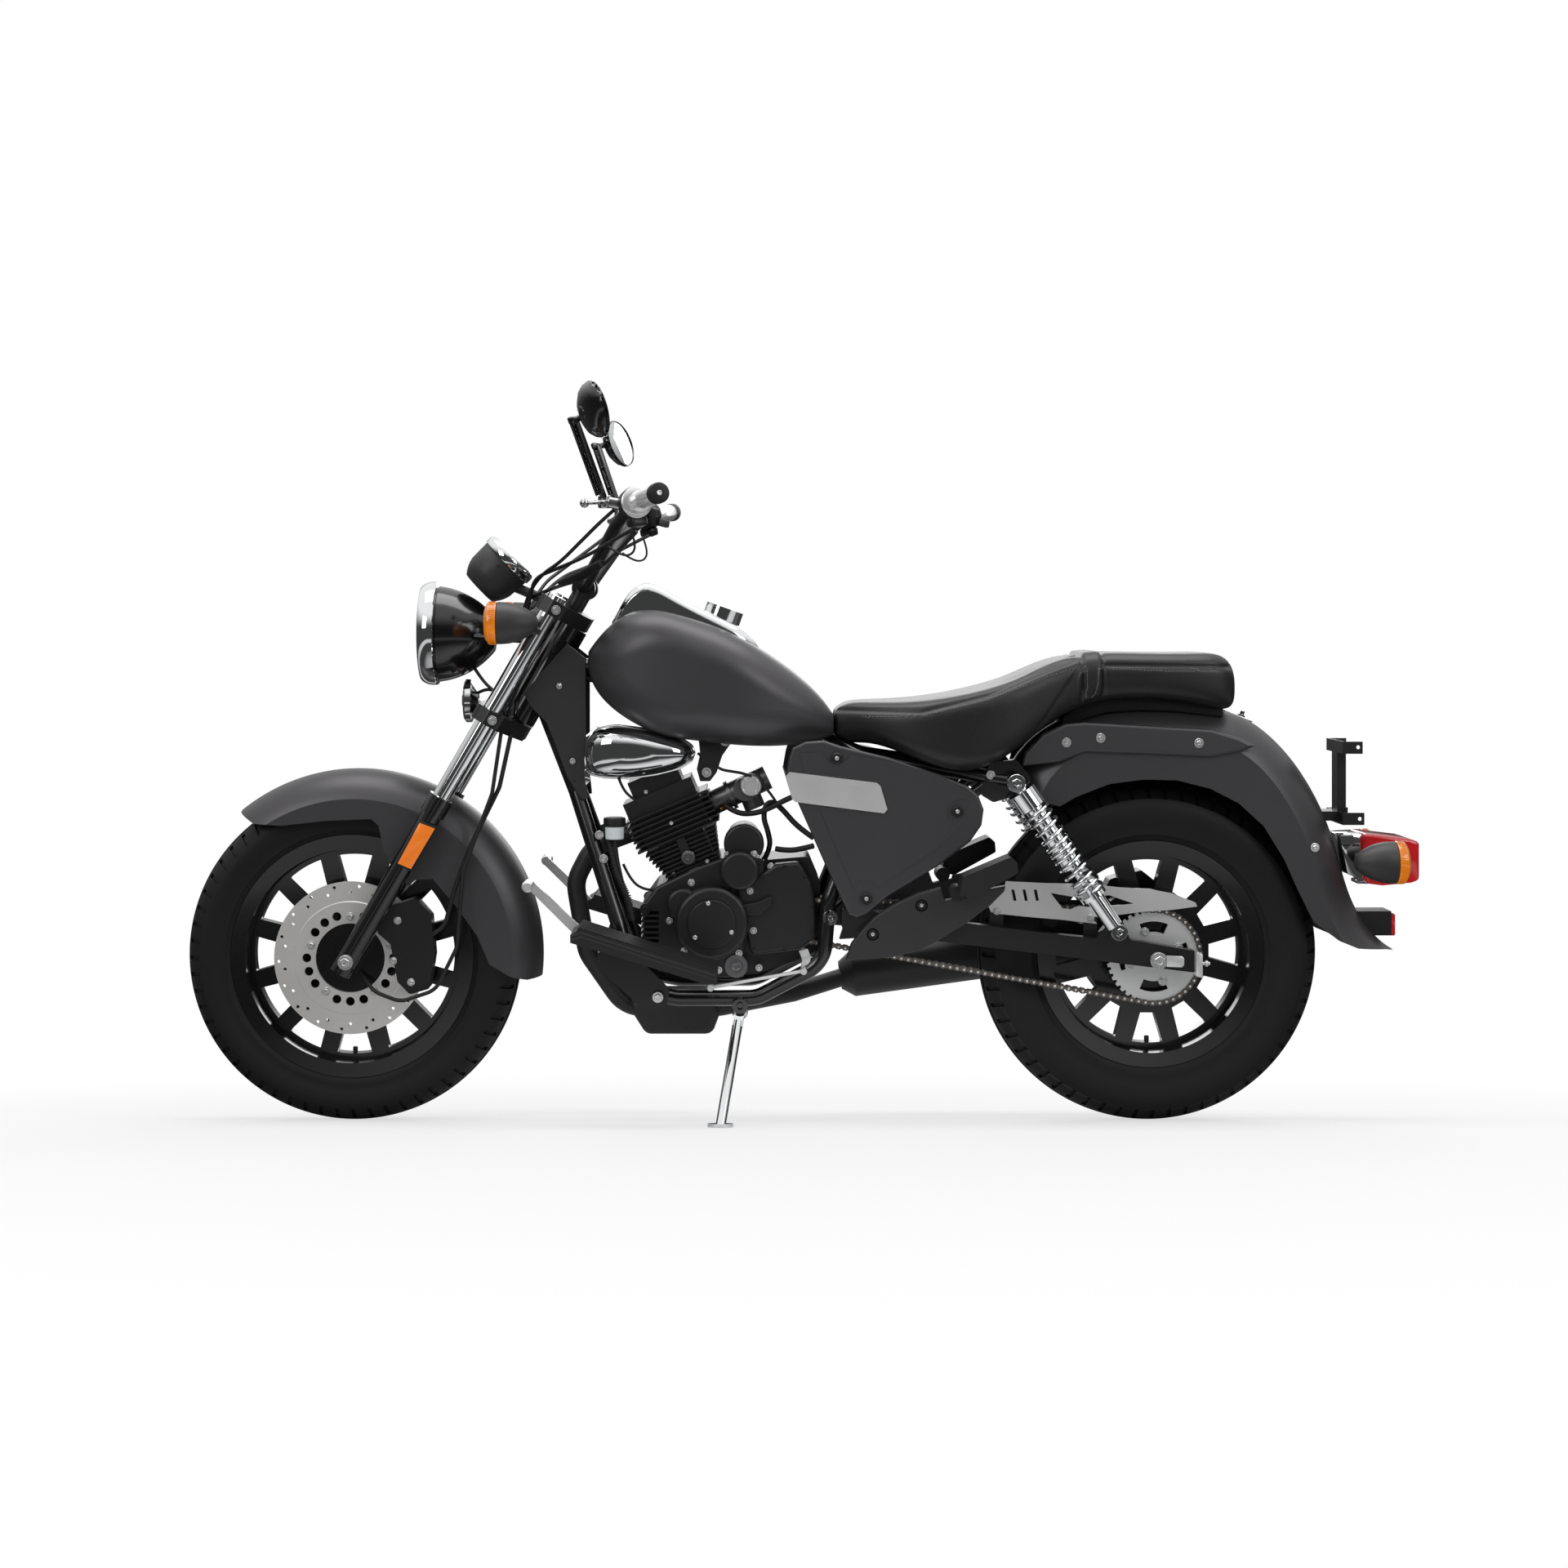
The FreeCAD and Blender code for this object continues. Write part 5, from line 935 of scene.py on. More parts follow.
fasten("case_bolts", "chassis", [(20, -97, 450), (60, -99, 470), (96, -99, 452), (108, -99, 400),
                                 (108, -99, 356), (60, -99, 322), (6, -99, 322)], across=4, height=3,
       washer=0, look="engine_black", both=False)
fasten("barrel_cap", "chassis", [(-113, -72, 483)], across=7, height=3, washer=12.5, look="chrome",
       both=False)
fasten("cylinder_bolts", "chassis", [(-189, -64, 600), (-143, -74, 545), (-79, -68, 476), (-139, -60, 452),
                                     (-62, -78, 474)], across=4.2, height=3.4, washer=0)
fasten("crankcase_bolts", "chassis", [(-107, -90, 440), (5, -92, 491), (-2, -99, 426), (-146, -91, 372),
                                      (-120, -91, 318), (-22, -91, 314), (4, -101, 356), (35, -92, 469),
                                      (-58, -90, 284), (14, -90, 288)], across=4.4, height=3.6, washer=6.4)
fasten("mount_bolts", "chassis", [(-189, -92, 393)], across=6.5, height=5, washer=10, look="satin_black")

# %% [markdown]
# The headlamp is a painted steel bowl with a chrome rim that holds the glass. Each layer is turned
# by itself and closed, so the lens lets light in to the silvered reflector and its bulb. The bowl's
# side is an arc, so a helper fills in points on an arc that bulges outwards.

# %% Headlamp
def bulge(start, end, radius, steps=7):
    """Points after the start, on an arc to the end that bulges away from the turning line."""
    first, last = Vector(start), Vector(end)
    along = (last - first).normalized()
    half = (last - first).length / 2
    inward = Vector((along.y, -along.x))
    centre = (first + last) / 2 + inward * math.sqrt(radius * radius - half * half)
    spread = math.asin(half / radius)
    points = []
    for step in range(1, steps + 1):
        angle = spread * (2 * step / steps - 1)
        points.append(tuple(centre - inward * radius * math.cos(angle) + along * radius * math.sin(angle)))
    return points


FORWARDS = (-1, 0, 0)
HEADLAMP_BACK = (-466, 0, 884)


def headlamp():
    bowl = lathe([(0, 0), (0, 32), *bulge((0, 32), (100, 88), 150, 10), (102, 85), (103.5, 85),
                  (103.5, 79.5), (62, 57), (34, 0)], HEADLAMP_BACK, FORWARDS, 72)
    ears = with_mirror(wire([(-496, -64, 879), (-388, -95, 872)], 6, smooth=False))
    dress(join_all([bowl, ears]), "headlamp_bowl", "fork", "gloss_black", hides=("headlamp",))
    reflector = lathe([(36, 0), (38, 14), (46, 34), (62, 54), (82, 68), (103, 78.5), (104, 81.5),
                       (106, 81.5), (104.5, 77.5), (83, 66.5), (63.5, 52.5), (48, 33), (40.5, 14),
                       (39, 0)], HEADLAMP_BACK, FORWARDS, 64)
    dress(reflector, "headlamp_reflector", "fork", "chrome", "lamp_silver")
    bulb = lathe([(38, 0), (38, 9), (52, 9), (53, 6), (70, 6), (76, 4), (78, 0)], HEADLAMP_BACK,
                 FORWARDS, 24)
    dress(bulb, "headlamp_bulb", "fork", "chrome", "lamp_silver")
    rim = lathe([(104, 82), (103.6, 92.5), (105, 93.8), (113, 93.8), *bulge((113, 93.8), (131, 87.5), 30, 6),
                 (133.2, 85), (132.4, 82.4), (129, 81), (127, 82), (111, 84), (104, 82)],
                HEADLAMP_BACK, FORWARDS, 96)
    dress(rim, "headlamp_rim", "fork", "chrome")
    glass = lathe([(128, 0), (128.4, 40), (128, 80.8), (130, 81), *bulge((130, 81), (142, 0), 341, 8)],
                  HEADLAMP_BACK, FORWARDS, 72)
    dress(glass, "headlamp_glass", "fork", "chrome", "clear_glass")


def clear_glass():
    made = finish("lamp_glass", (0.94, 0.96, 0.97), 0.03, amount=0.02, spread=0.02)
    shader = made.node_tree.nodes["Principled BSDF"]
    shader.inputs["Transmission Weight"].default_value = 1.0
    shader.inputs["IOR"].default_value = 1.48
    return made


FINISHES["clear_glass"] = clear_glass()
headlamp()

# %% [markdown]
# The speedometer leans back towards the rider. Its dial carries ticks and plain numbers; text is
# typed as a curve, made a mesh, and laid on the dial like any other piece.

# %% Dial
GAUGE_BACK = Vector((-495, 0, 967))
GAUGE_LINE = Vector((0.73, 0, 0.685)).normalized()
DIAL_LEVEL = 83.4
DIAL_RADIUS = 42
SPEEDS = range(0, 141, 20)
DIAL_START = 225
DIAL_SWEEP = 270


def on_dial(radius, speed, level=DIAL_LEVEL):
    """Place and turn on the dial for one speed, seen by the rider."""
    angle = math.radians(DIAL_START - DIAL_SWEEP * speed / SPEEDS[-1])
    up = Vector((-GAUGE_LINE.z, 0, GAUGE_LINE.x))
    right = up.cross(GAUGE_LINE)
    outwards = right * math.cos(angle) + up * math.sin(angle)
    spot = GAUGE_BACK + GAUGE_LINE * level + outwards * radius
    return spot, outwards, right, up


def basis(place, x_line, y_line, z_line):
    """Matrix of a place in millimetres and three directions."""
    turn = Matrix((x_line, y_line, z_line)).transposed().to_4x4()
    return Matrix.Translation(place * MM) @ turn


def dial_marks():
    tick = lathe([(-3, 0), (-3, 0.5), (3, 0.5), (3, 0)], sides=4)
    marks = []
    for speed in range(0, SPEEDS[-1] + 1, 10):
        spot, outwards, _, _ = on_dial(36, speed)
        marks.append(put(spot, outwards))
    pieces = [stamp(tick, marks)]
    for speed in SPEEDS:
        spot, _, right, up = on_dial(27, speed)
        fresh()
        bpy.ops.object.text_add()
        text = bpy.context.object.data
        text.body = str(speed)
        text.size = 9 * MM
        text.align_x = text.align_y = "CENTER"
        text.extrude = 0.2 * MM
        bpy.ops.object.convert(target="MESH")
        label = bpy.context.object
        label.data.transform(basis(spot, right, up, GAUGE_LINE))
        pieces.append(label)
    return join_all(pieces)


# %% [markdown]
# The housing is a turned bowl with a chrome bezel. Dial, marks, needle and glass lie in it one behind
# the other, each a piece of its own.

# %% Speedometer
def speedometer():
    pod = lathe([(0, 0), (0, 34), *bulge((0, 34), (30, 49), 60, 8), (66, 50.5), (67.5, 49.5),
                 (67.5, 45), (82, 45), (82, 0)], GAUGE_BACK, GAUGE_LINE, 72)
    post = wire([(-470, 0, 985), (-374, 0, 945)], 9, smooth=False)
    screws = stamp(lathe([(0, 0), (0, 4), (1, 4), (1.6, 3.2), (1.6, 1.6), (0.8, 1.2), (0.8, 0)],
                         sides=20), [put((-455, side * 49.5, 1008), (0, side, 0)) for side in (-1, 1)])
    dress(join_all([pod, post, screws]), "speedometer_pod", "fork", "cover_plastic",
          hides=("speedometer",))
    bezel = lathe([(67.6, 45), (68, 52.6), (69, 53.2), (79, 53.2), *bulge((79, 53.2), (88, 47.5), 14, 5),
                   (88.6, 45.5), (88, 43.4), (84.6, 43), (84, 45), (67.6, 45)],
                  GAUGE_BACK, GAUGE_LINE, 96)
    dress(bezel, "speedometer_bezel", "fork", "chrome")
    dial = lathe([(81.5, 0), (81.5, DIAL_RADIUS + 1), (83, DIAL_RADIUS + 1), (83.2, 0)], GAUGE_BACK,
                 GAUGE_LINE, 64)
    dress(dial, "speedometer_dial", "fork", "satin_black")
    dress(dial_marks(), "speedometer_marks", "fork", "chrome", "mark_white")
    spot, outwards, _, _ = on_dial(0, 0, DIAL_LEVEL + 1)
    needle = lathe([(-8, 0), (-8, 1.4), (30, 0.5), (30, 0)], spot, outwards, 4)
    hub = lathe([(0, 0), (0, 5), (1.6, 5), (2, 4), (2, 0)], spot - GAUGE_LINE, GAUGE_LINE, 24)
    dress(join_all([needle, hub]), "speedometer_needle", "fork", "red_lens", "needle_red")
    cover = lathe([(86.2, 0), (86.2, 43.2), (87.4, 43.2), (88.2, 0)], GAUGE_BACK, GAUGE_LINE, 64)
    dress(cover, "speedometer_glass", "fork", "chrome", "clear_glass")


FINISHES["mark_white"] = finish("dial_white", (0.80, 0.80, 0.78), 0.5, amount=0.05)
FINISHES["needle_red"] = finish("needle_red", (0.75, 0.06, 0.02), 0.4, amount=0.05)
speedometer()

# %% [markdown]
# All four indicators have one shape: a plastic bullet with a fluted amber cap. The cap is turned
# with many sides, and every second face of its band is sunk to make the flutes.

# %% Indicators
FLUTES = 60
FLUTE_BAND = (75, 83)


def indicator(place, direction, stalk):
    """Bullet and cap on the left; returns both."""
    shell = lathe([(0, 0), *bulge((0, 0.02), (4, 14), 15, 3), *bulge((4, 14), (62, 37), 90, 9), (70, 37.4),
                   (71, 36.6), (71, 0)], place, direction, 56)
    cap = lathe([(71.2, 0), (71.2, 35.6), (72, 37.8), (74, 38.2), (84, 38.2), (86, 37.6),
                 *bulge((86, 37.6), (94, 20), 24, 4), (95, 0)], place, direction, FLUTES * 2)
    line = Vector(direction)

    def is_flute(spot):
        along = (spot / MM - Vector(place)).dot(line)
        away = spot / MM - Vector(place) - line * along
        return (FLUTE_BAND[0] < along < FLUTE_BAND[1] and away.length > 30
                and sector(away.z, away.y, FLUTES * 2) % 2 == 0)

    push_faces(cap, is_flute, -0.7)
    return join_all([shell, wire(stalk, 8, smooth=False)]), cap


def indicators():
    front_shell, front_cap = indicator((-376, -156, 904), FORWARDS, [(-400, -150, 903), (-379, -106, 888)])
    rear_shell, rear_cap = indicator((1070, -120, 479), (1, 0, 0), [(1110, -52, 479), (1110, -120, 479)])
    dress(with_mirror(front_shell), "front_indicator_shells", "fork", "cover_plastic", "bullet_plastic",
          hides=("front_indicators",))
    dress(with_mirror(front_cap), "front_indicator_caps", "fork", "red_lens", "amber_lens", angle=20)
    dress(with_mirror(rear_shell), "rear_indicator_shells", "chassis", "cover_plastic", "bullet_plastic",
          hides=("rear_indicators",))
    dress(with_mirror(rear_cap), "rear_indicator_caps", "chassis", "red_lens", "amber_lens", angle=20)


FINISHES["bullet_plastic"] = finish("indicator_plastic", (0.028, 0.027, 0.027), 0.46, grain=0.03,
                                    grain_scale=1500, cells=0.7)
indicators()

# %% [markdown]
# The tail lamp is a bright base with a red lens that wraps round its back. The lens is one block of
# clear red plastic with rounded edges, and two slots in the base give it air.

# %% Tail lamp
def tail_lamp():
    base = plate([(1062, 521), (1104, 523), (1108, 437), (1077, 450)], -42, 42, bevel=4)
    low = plate([(1100, 436), (1162, 441), (1162, 436), (1150, 430), (1100, 430)], -24, 24, bevel=1)
    dress(join_all([base, low]), "tail_lamp_base", "chassis", "chrome", hides=("tail_lamp",))
    slots = [plate([(x, 504), (x + 13, 504.6), (x + 13, 500.6), (x, 500)], -42.6, -41, bevel=0.7)
             for x in (1068, 1086)]
    dress(with_mirror(join_all(slots)), "tail_lamp_slots", "chassis", "rubber")
    glass = plate([(1104, 524), (1186, 514.5), (1204, 509), (1204, 440), (1190, 435), (1138, 430),
                   (1108, 434)], -55, 55, bevel=6, steps=4)
    dress(glass, "tail_lamp_glass", "chassis", "red_lens")
    rear = plate([(1160.4, 338), (1167.2, 338), (1167.2, 375.4), (1160.4, 375.4)], -28.4, 28.4, bevel=1)
    dress(rear, "rear_reflector", "chassis", "red_lens")


tail_lamp()

# %% [markdown]
# Each fork leg carries a long amber reflector in a dark frame. Its corners were measured on the
# photograph, so its outline leans with the leg.

# %% Fork reflectors
REFLECTOR = ((-588, 552), (-559, 541), (-604, 465), (-629, 476))


def middle_of(outline):
    """Mean place of an outline's corners."""
    return sum((Vector(corner) for corner in outline), Vector((0, 0))) / len(outline)


def grown(outline, margin):
    """The outline moved outwards from its middle."""
    middle = middle_of(outline)
    return [tuple(Vector(corner) + (Vector(corner) - middle).normalized() * margin) for corner in outline]


def fork_reflectors():
    frame_piece = plate(grown(REFLECTOR, 1.5), -112, -121, bevel=1.2)
    dress(with_mirror(frame_piece), "reflector_frames", "fork", "rubber")
    pane = plate(grown(REFLECTOR, -2.5), -118, -122.4, bevel=0.8)
    dress(with_mirror(pane), "fork_reflector_panes", "fork", "red_lens", "amber_reflector")


FINISHES["amber_reflector"] = lens("amber_reflector", (0.95, 0.22, 0.01), 0.05, 0.25)
fork_reflectors()

# %% [markdown]
# The handlebar ends have a bright flange, a bright sleeve and a black rubber end with a screw. The
# direction of the grip comes from the bar's own bend points.

# %% Grips
BAR_BEND = on_fork(UPPER_CLAMP + 232.2, 2.2, -290)
BAR_END = on_fork(UPPER_CLAMP + 261.9, 33.6, -418)
GRIP_LINE = (BAR_END - BAR_BEND).normalized()
GRIP_START = BAR_BEND + GRIP_LINE * 8
GRIP_LENGTH = (BAR_END - GRIP_START).length


def grips():
    flange = lathe([(0, 12.3), (0, 26.2), (0.8, 27), (2.4, 27), (3.2, 26.2), (4.5, 18), (5, 12.3),
                    (0, 12.3)], GRIP_START, GRIP_LINE, 64)
    sleeve = [(4.6, 12.4), (5, 16.4), (20, 17.2), (21, 16.2)]
    for ring in range(6):
        start = 24 + ring * 4
        sleeve += [(start, 16.2), (start + 0.6, 15.5), (start + 1.6, 15.5), (start + 2.2, 16.2)]
    sleeve += [(GRIP_LENGTH - 5, 16.2), (GRIP_LENGTH - 4.2, 15.6), (GRIP_LENGTH - 4.2, 12.4), (4.6, 12.4)]
    tube_piece = lathe(sleeve, GRIP_START, GRIP_LINE, 56)
    dress(with_mirror(join_all([flange, tube_piece])), "grip_sleeves", "fork", "chrome",
          "polished_aluminium", hides=("grips",))
    end = lathe([(GRIP_LENGTH - 4.6, 0), (GRIP_LENGTH - 4.6, 17.6), (GRIP_LENGTH + 10, 17.6),
                 (GRIP_LENGTH + 12.4, 16.6), (GRIP_LENGTH + 13.8, 14), (GRIP_LENGTH + 14, 6),
                 (GRIP_LENGTH + 12, 5.4), (GRIP_LENGTH + 12, 0)], GRIP_START, GRIP_LINE, 48)
    dress(with_mirror(end), "grip_ends", "fork", "rubber")
    screw = lathe([(GRIP_LENGTH + 11.8, 0), (GRIP_LENGTH + 11.8, 4.4), (GRIP_LENGTH + 13.6, 4.4),
                   (GRIP_LENGTH + 14, 3.8), (GRIP_LENGTH + 13.8, 2.2), (GRIP_LENGTH + 12.6, 1.8),
                   (GRIP_LENGTH + 12.6, 0)], GRIP_START, GRIP_LINE, 24)
    dress(with_mirror(screw), "grip_screws", "fork", "zinc_steel")


grips()

# %% [markdown]
# Beside each grip sits a housing with switches, and in front of it the lever turns in its perch.
# A lever is a bar whose section changes: a box is stretched between two points, rounded, and two of
# them with a ball make it.

# %% Hand controls
def slab(start, end, width, thickness, bevel):
    """Rounded bar between two points."""
    first, last = Vector(start), Vector(end)
    fresh()
    bpy.ops.mesh.primitive_cube_add(size=MM)
    bar = bpy.context.object
    bar.data.transform(Matrix.Diagonal((width, thickness, (last - first).length, 1)))
    bar.data.transform(put((first + last) / 2, last - first))
    round_edges(bar, bevel, 3)
    return bar


def hand_controls():
    housing = lathe([(-32, 12.4), (-32, 22), (-29, 26), (-20, 26.8), (-19, 26), (-18, 26.9), (-6, 28),
                     (-2.6, 25), (-2, 24), (-2, 12.4), (-32, 12.4)], GRIP_START, GRIP_LINE, 56)
    block = slab(GRIP_START - GRIP_LINE * 24 + Vector((2, 0, -34)), GRIP_START - GRIP_LINE * 4
                 + Vector((8, 0, -30)), 30, 16, 4)
    nub = slab(GRIP_START - GRIP_LINE * 20 + Vector((24, 0, -12)), GRIP_START - GRIP_LINE * 6
               + Vector((40, 0, -18)), 12, 14, 3)
    dress(with_mirror(join_all([housing, block])), "switch_housings", "fork", "satin_black",
          hides=("hand_controls",))
    dress(with_mirror(nub), "switch_knobs", "fork", "cover_plastic", "bullet_plastic")
    perch = slab((-206, -268, 1104), (-250, -282, 1112), 20, 18, 5)
    joint = lathe([(-11, 0), (-11, 9), (-9, 11), (9, 11), (11, 9), (11, 0)], (-252, -281, 1112), sides=32)
    root = slab((-252, -284, 1112), (-263, -350, 1108), 14, 7, 2.5)
    tip = slab((-262, -345, 1108), (-277, -422, 1104), 11, 6, 2.2)
    ball = lathe([(-8, 0), (-7, 4), (-4.6, 6.8), (0, 8), (4.6, 6.8), (7, 4), (8, 0)],
                 (-277, -424, 1104), sides=24)
    dress(with_mirror(join_all([perch, joint, root, tip, ball])), "levers", "fork",
          "polished_aluminium", "lever_alloy")


FINISHES["lever_alloy"] = finish("lever_alloy", (0.58, 0.58, 0.59), 0.22, metallic=1.0, amount=0.1)
hand_controls()

# %% [markdown]
# A mirror is an oval shell with a thin glass in its recess. Each is turned with a radius of one and
# then stretched to the oval, and the left and right ones both face in towards the rider. A flat arm
# with a thin rail in front of it carries the shell.

# %% Mirrors
MIRROR_CENTRE = Vector((-266, -428, 1256))
MIRROR_TILT = math.radians(18)
MIRROR_TOE = math.radians(16)
MIRROR_OVAL = (71, 48)
ARM_FOOT = Vector((-252, -290, 1118))
ARM_TOP = Vector((-298, -334, 1249))
MIRROR_LINE = Vector((math.cos(MIRROR_TILT) * math.cos(MIRROR_TOE), math.sin(MIRROR_TOE),
                      math.sin(MIRROR_TILT) * math.cos(MIRROR_TOE)))


def oval(outline):
    """Turned outline with a radius of one, stretched and placed as the left mirror."""
    disc = lathe(outline, sides=72)
    disc.data.transform(Matrix.Diagonal((*MIRROR_OVAL, 1, 1)))
    across = (Vector((0, 1, 0)) - MIRROR_LINE * MIRROR_LINE.y).normalized()
    disc.data.transform(basis(MIRROR_CENTRE, across, MIRROR_LINE.cross(across), MIRROR_LINE))
    return disc


def mirrors():
    shell = oval([(-17, 0), (-16, 0.30), (-13, 0.56), (-8, 0.78), (-2, 0.92), (4, 0.985), (9, 1.0),
                  (11, 0.985), (11.2, 0.955), (9, 0.94), (8.4, 0.93), (8.4, 0)])
    cup = oval([(-19, 0), (-18.6, 0.14), (-17.4, 0.24), (-14, 0.27), (-14, 0)])
    along = (ARM_TOP - ARM_FOOT).normalized()
    front = along.cross(Vector((0, 1, 0))).normalized() * 9
    front = front if front.x < 0 else -front
    arm = [slab(ARM_FOOT, ARM_TOP, 11, 8, 2), slab(ARM_FOOT + front + along * 8, ARM_TOP + front, 3, 7, 1),
           slab(ARM_TOP - along * 7 + front * 0.5, ARM_TOP + along * 6 + front * 0.5, 20, 9, 3)]
    for share in (0.08, 0.36, 0.66):
        spot = ARM_FOOT.lerp(ARM_TOP, share)
        arm.append(slab(spot, spot + front, 12, 7, 1))
    stub = wire([ARM_TOP - along * 2, (-276, -384, 1254), MIRROR_CENTRE - MIRROR_LINE * 15], 5.5)
    dress(with_mirror(join_all([shell, cup, *arm, stub])), "mirror_shells", "fork", "cover_plastic",
          "gloss_black", hides=("mirrors",))
    glass = oval([(8.5, 0), (8.5, 0.925), (9.6, 0.92), (9.9, 0.90), (10, 0)])
    dress(with_mirror(glass), "mirror_glass", "fork", "chrome", "mirror_silver")


FINISHES["mirror_silver"] = finish("mirror_silver", (0.70, 0.73, 0.74), 0.04, metallic=1.0, amount=0.03,
                                   spread=0.01)
mirrors()

# %% [markdown]
# The air cleaner's chrome cover is a swollen form. Its side outline is drawn once and repeated in
# shrinking rings that follow a quarter of an oval, and a subdivision surface rounds it.

# %% Air cleaner
AIR_COVER = ((-298, 640), (-301, 672), (-296, 700), (-276, 716), (-240, 719), (-196, 713), (-159, 706),
             (-126, 696), (-108, 684), (-102, 670), (-108, 654), (-132, 640), (-170, 631), (-220, 624),
             (-262, 625), (-286, 630))
AIR_BACK = -58
AIR_HEIGHT = 48
FACE_INSET = 14


def swollen(outline, back, height, steps=5):
    """Closed dome over a side outline, growing to the left."""
    middle = middle_of(outline) * MM
    piece = draw_side(outline, back)
    last_size, last_rise = 1.0, 0.0
    for step in range(1, steps + 1):
        angle = math.pi / 2 * step / (steps + 0.6)
        size, rise = math.cos(angle) ** 0.55, math.sin(angle)
        bpy.ops.mesh.extrude_region_move(
            TRANSFORM_OT_translate={"value": (0, -(rise - last_rise) * height * MM, 0)})
        bpy.ops.transform.resize(value=(size / last_size, 1, size / last_size),
                                 center_override=(middle.x, 0, middle.y))
        last_size, last_rise = size, rise
    bpy.ops.mesh.inset(thickness=FACE_INSET * MM)
    close_mesh()
    modify(piece, "SUBSURF", levels=3, render_levels=3)
    return piece


def air_cleaner():
    cover = swollen(AIR_COVER, AIR_BACK, AIR_HEIGHT)
    dress(cover, "air_cleaner_cover", "chassis", "chrome", angle=60, hides=("air_cleaner",))
    back = plate(grown(AIR_COVER, 2.5), AIR_BACK + 14, AIR_BACK - 1, bevel=3)
    neck = wire([(-200, -58, 668), (-200, 10, 668)], 20, smooth=False)
    tab = plate([(-322, 618), (-306, 640), (-296, 640), (-288, 622), (-296, 612)], AIR_BACK + 4,
                AIR_BACK - 2, bevel=1)
    dress(join_all([back, neck, tab]), "air_cleaner_back", "chassis", "chrome")


air_cleaner()

# %% [markdown]
# Two near-black pieces close gaps that would let light through, and their dark rubber finish is painted shade
# there:
# the pan under the passenger's seat, and the inner guard that runs close over the rear tyre.

# %% Seat pan and inner guard, painted shade
GUARD_FIRST = 56
GUARD_LAST = 140
GUARD_STEP = 3


def seat_pan():
    shade_sheet = plate([(560, 708), (560, 734), (600, 762), (650, 772), (700, 776), (760, 774), (820, 764),
                 (850, 752), (850, 734), (760, 744), (700, 746), (640, 742), (600, 730)], -58, 58, bevel=3)
    # Worn in the near-black tyre rubber, this sheet is painted shade where the seat meets the fender.
    dress(shade_sheet, "seat_pan", "chassis", "satin_black", "tyre")


def arc_band(centre, inner, outer):
    """Outline of a curved strip around an axle, from front to back over its top."""
    angles = [math.radians(turn) for turn in range(GUARD_FIRST, GUARD_LAST + 1, GUARD_STEP)]
    rim, edge = [[(centre.x - radius * math.cos(angle), centre.z + radius * math.sin(angle))
                  for angle in angles] for radius in (outer, inner)]
    return rim + edge[::-1]


def inner_guard():
    centre = REAR_AXLE / MM
    web = plate(arc_band(centre, 321, 324), -68, 76)
    flange = plate(arc_band(centre, 296, 324), 76, 79)
    # Worn in the near-black tyre rubber, this band is painted shade in the gap between the fender and the tyre.
    dress(join_all([web, flange]), "inner_rear_shade_guard", "chassis", "satin_black", "tyre")


seat_pan()
inner_guard()

# %% [markdown]
# Cables and hoses run in smooth curves from clip to clip. A NURBS curve through a few chosen points
# gives that bend, and its bevel gives the thickness. Fat ones get rings, as corrugated sleeves have.

# %% Cables and hoses
def cables(name, body, routes, radius, look="rubber", both=False):
    made = join_all([wire(route, radius, detail=6) for route in routes])
    if both:
        made = with_mirror(made)
    return dress(made, name, body, "rubber", look, angle=60)


def sleeve_rings(name, body, route, radius, pitch=4.2):
    """Rings along a route, as on a corrugated sleeve."""
    core = wire(route, radius, detail=6)
    ring = lathe([(-1.2, radius * 0.8), (-1.2, radius + 0.9), (0, radius + 1.4), (1.2, radius + 0.9),
                  (1.2, radius * 0.8), (-1.2, radius * 0.8)], sides=14)
    moves = []
    for start, end in zip(map(Vector, route), map(Vector, route[1:])):
        for step in range(int((end - start).length / pitch)):
            spot = start + (end - start).normalized() * pitch * step
            moves.append(put(spot, end - start))
    return dress(join_all([core, stamp(ring, moves)]), name, body, "rubber", angle=50)


# %% [markdown]
# A route is a list of points that a cable passes, in order from one end to the other. Those of the
# bar end on the fork, so that nothing is stretched when it turns.

# %% The routes
cables("bar_cables", "fork", [
    [(-236, -276, 1098), (-256, -264, 1082), (-296, -220, 1046), (-338, -150, 1010), (-372, -96, 992),
     (-398, -60, 962), (-414, -44, 914), (-420, -40, 880)],
    [(-196, -262, 1070), (-232, -236, 1052), (-290, -180, 1020), (-352, -110, 998), (-388, -84, 984),
     (-396, -70, 950), (-410, -50, 900)],
    [(-198, -250, 1062), (-240, -210, 1020), (-292, -150, 982), (-352, -84, 968), (-400, -56, 948)],
], 3.4)
cables("bar_cables_right", "fork", [
    [(-236, 276, 1098), (-262, 262, 1080), (-310, 210, 1040), (-352, 140, 1004), (-392, 80, 970),
     (-414, 46, 914)],
    [(-196, 262, 1070), (-240, 230, 1046), (-300, 170, 1010), (-366, 96, 984), (-404, 56, 930)],
], 3.4)
sleeve_rings("bar_wire_sleeve", "fork", [(-262, -196, 1008), (-300, -150, 990), (-340, -104, 974)], 5.6)
cables("switch_wires", "fork", [
    [(-206, -286, 1062), (-198, -282, 1040), (-204, -274, 1022), (-224, -262, 1020), (-246, -250, 1036)]],
    2.0, both=True)
sleeve_rings("frame_wire_sleeve", "chassis", [
    (-266, -62, 540), (-252, -70, 500), (-244, -76, 460), (-222, -84, 415), (-212, -88, 372)], 5.8)
cables("engine_hoses", "chassis", [
    [(24, -50, 478), (36, -56, 500), (30, -58, 530), (22, -54, 552), (26, -50, 576), (40, -48, 582),
     (58, -50, 566), (84, -60, 536), (112, -70, 518)],
    [(-44, -40, 572), (-26, -50, 560), (4, -56, 560), (30, -56, 568), (70, -62, 590), (104, -70, 604)],
    [(44, -56, 497), (66, -62, 494), (92, -66, 498), (112, -72, 504)],
], 5.0)
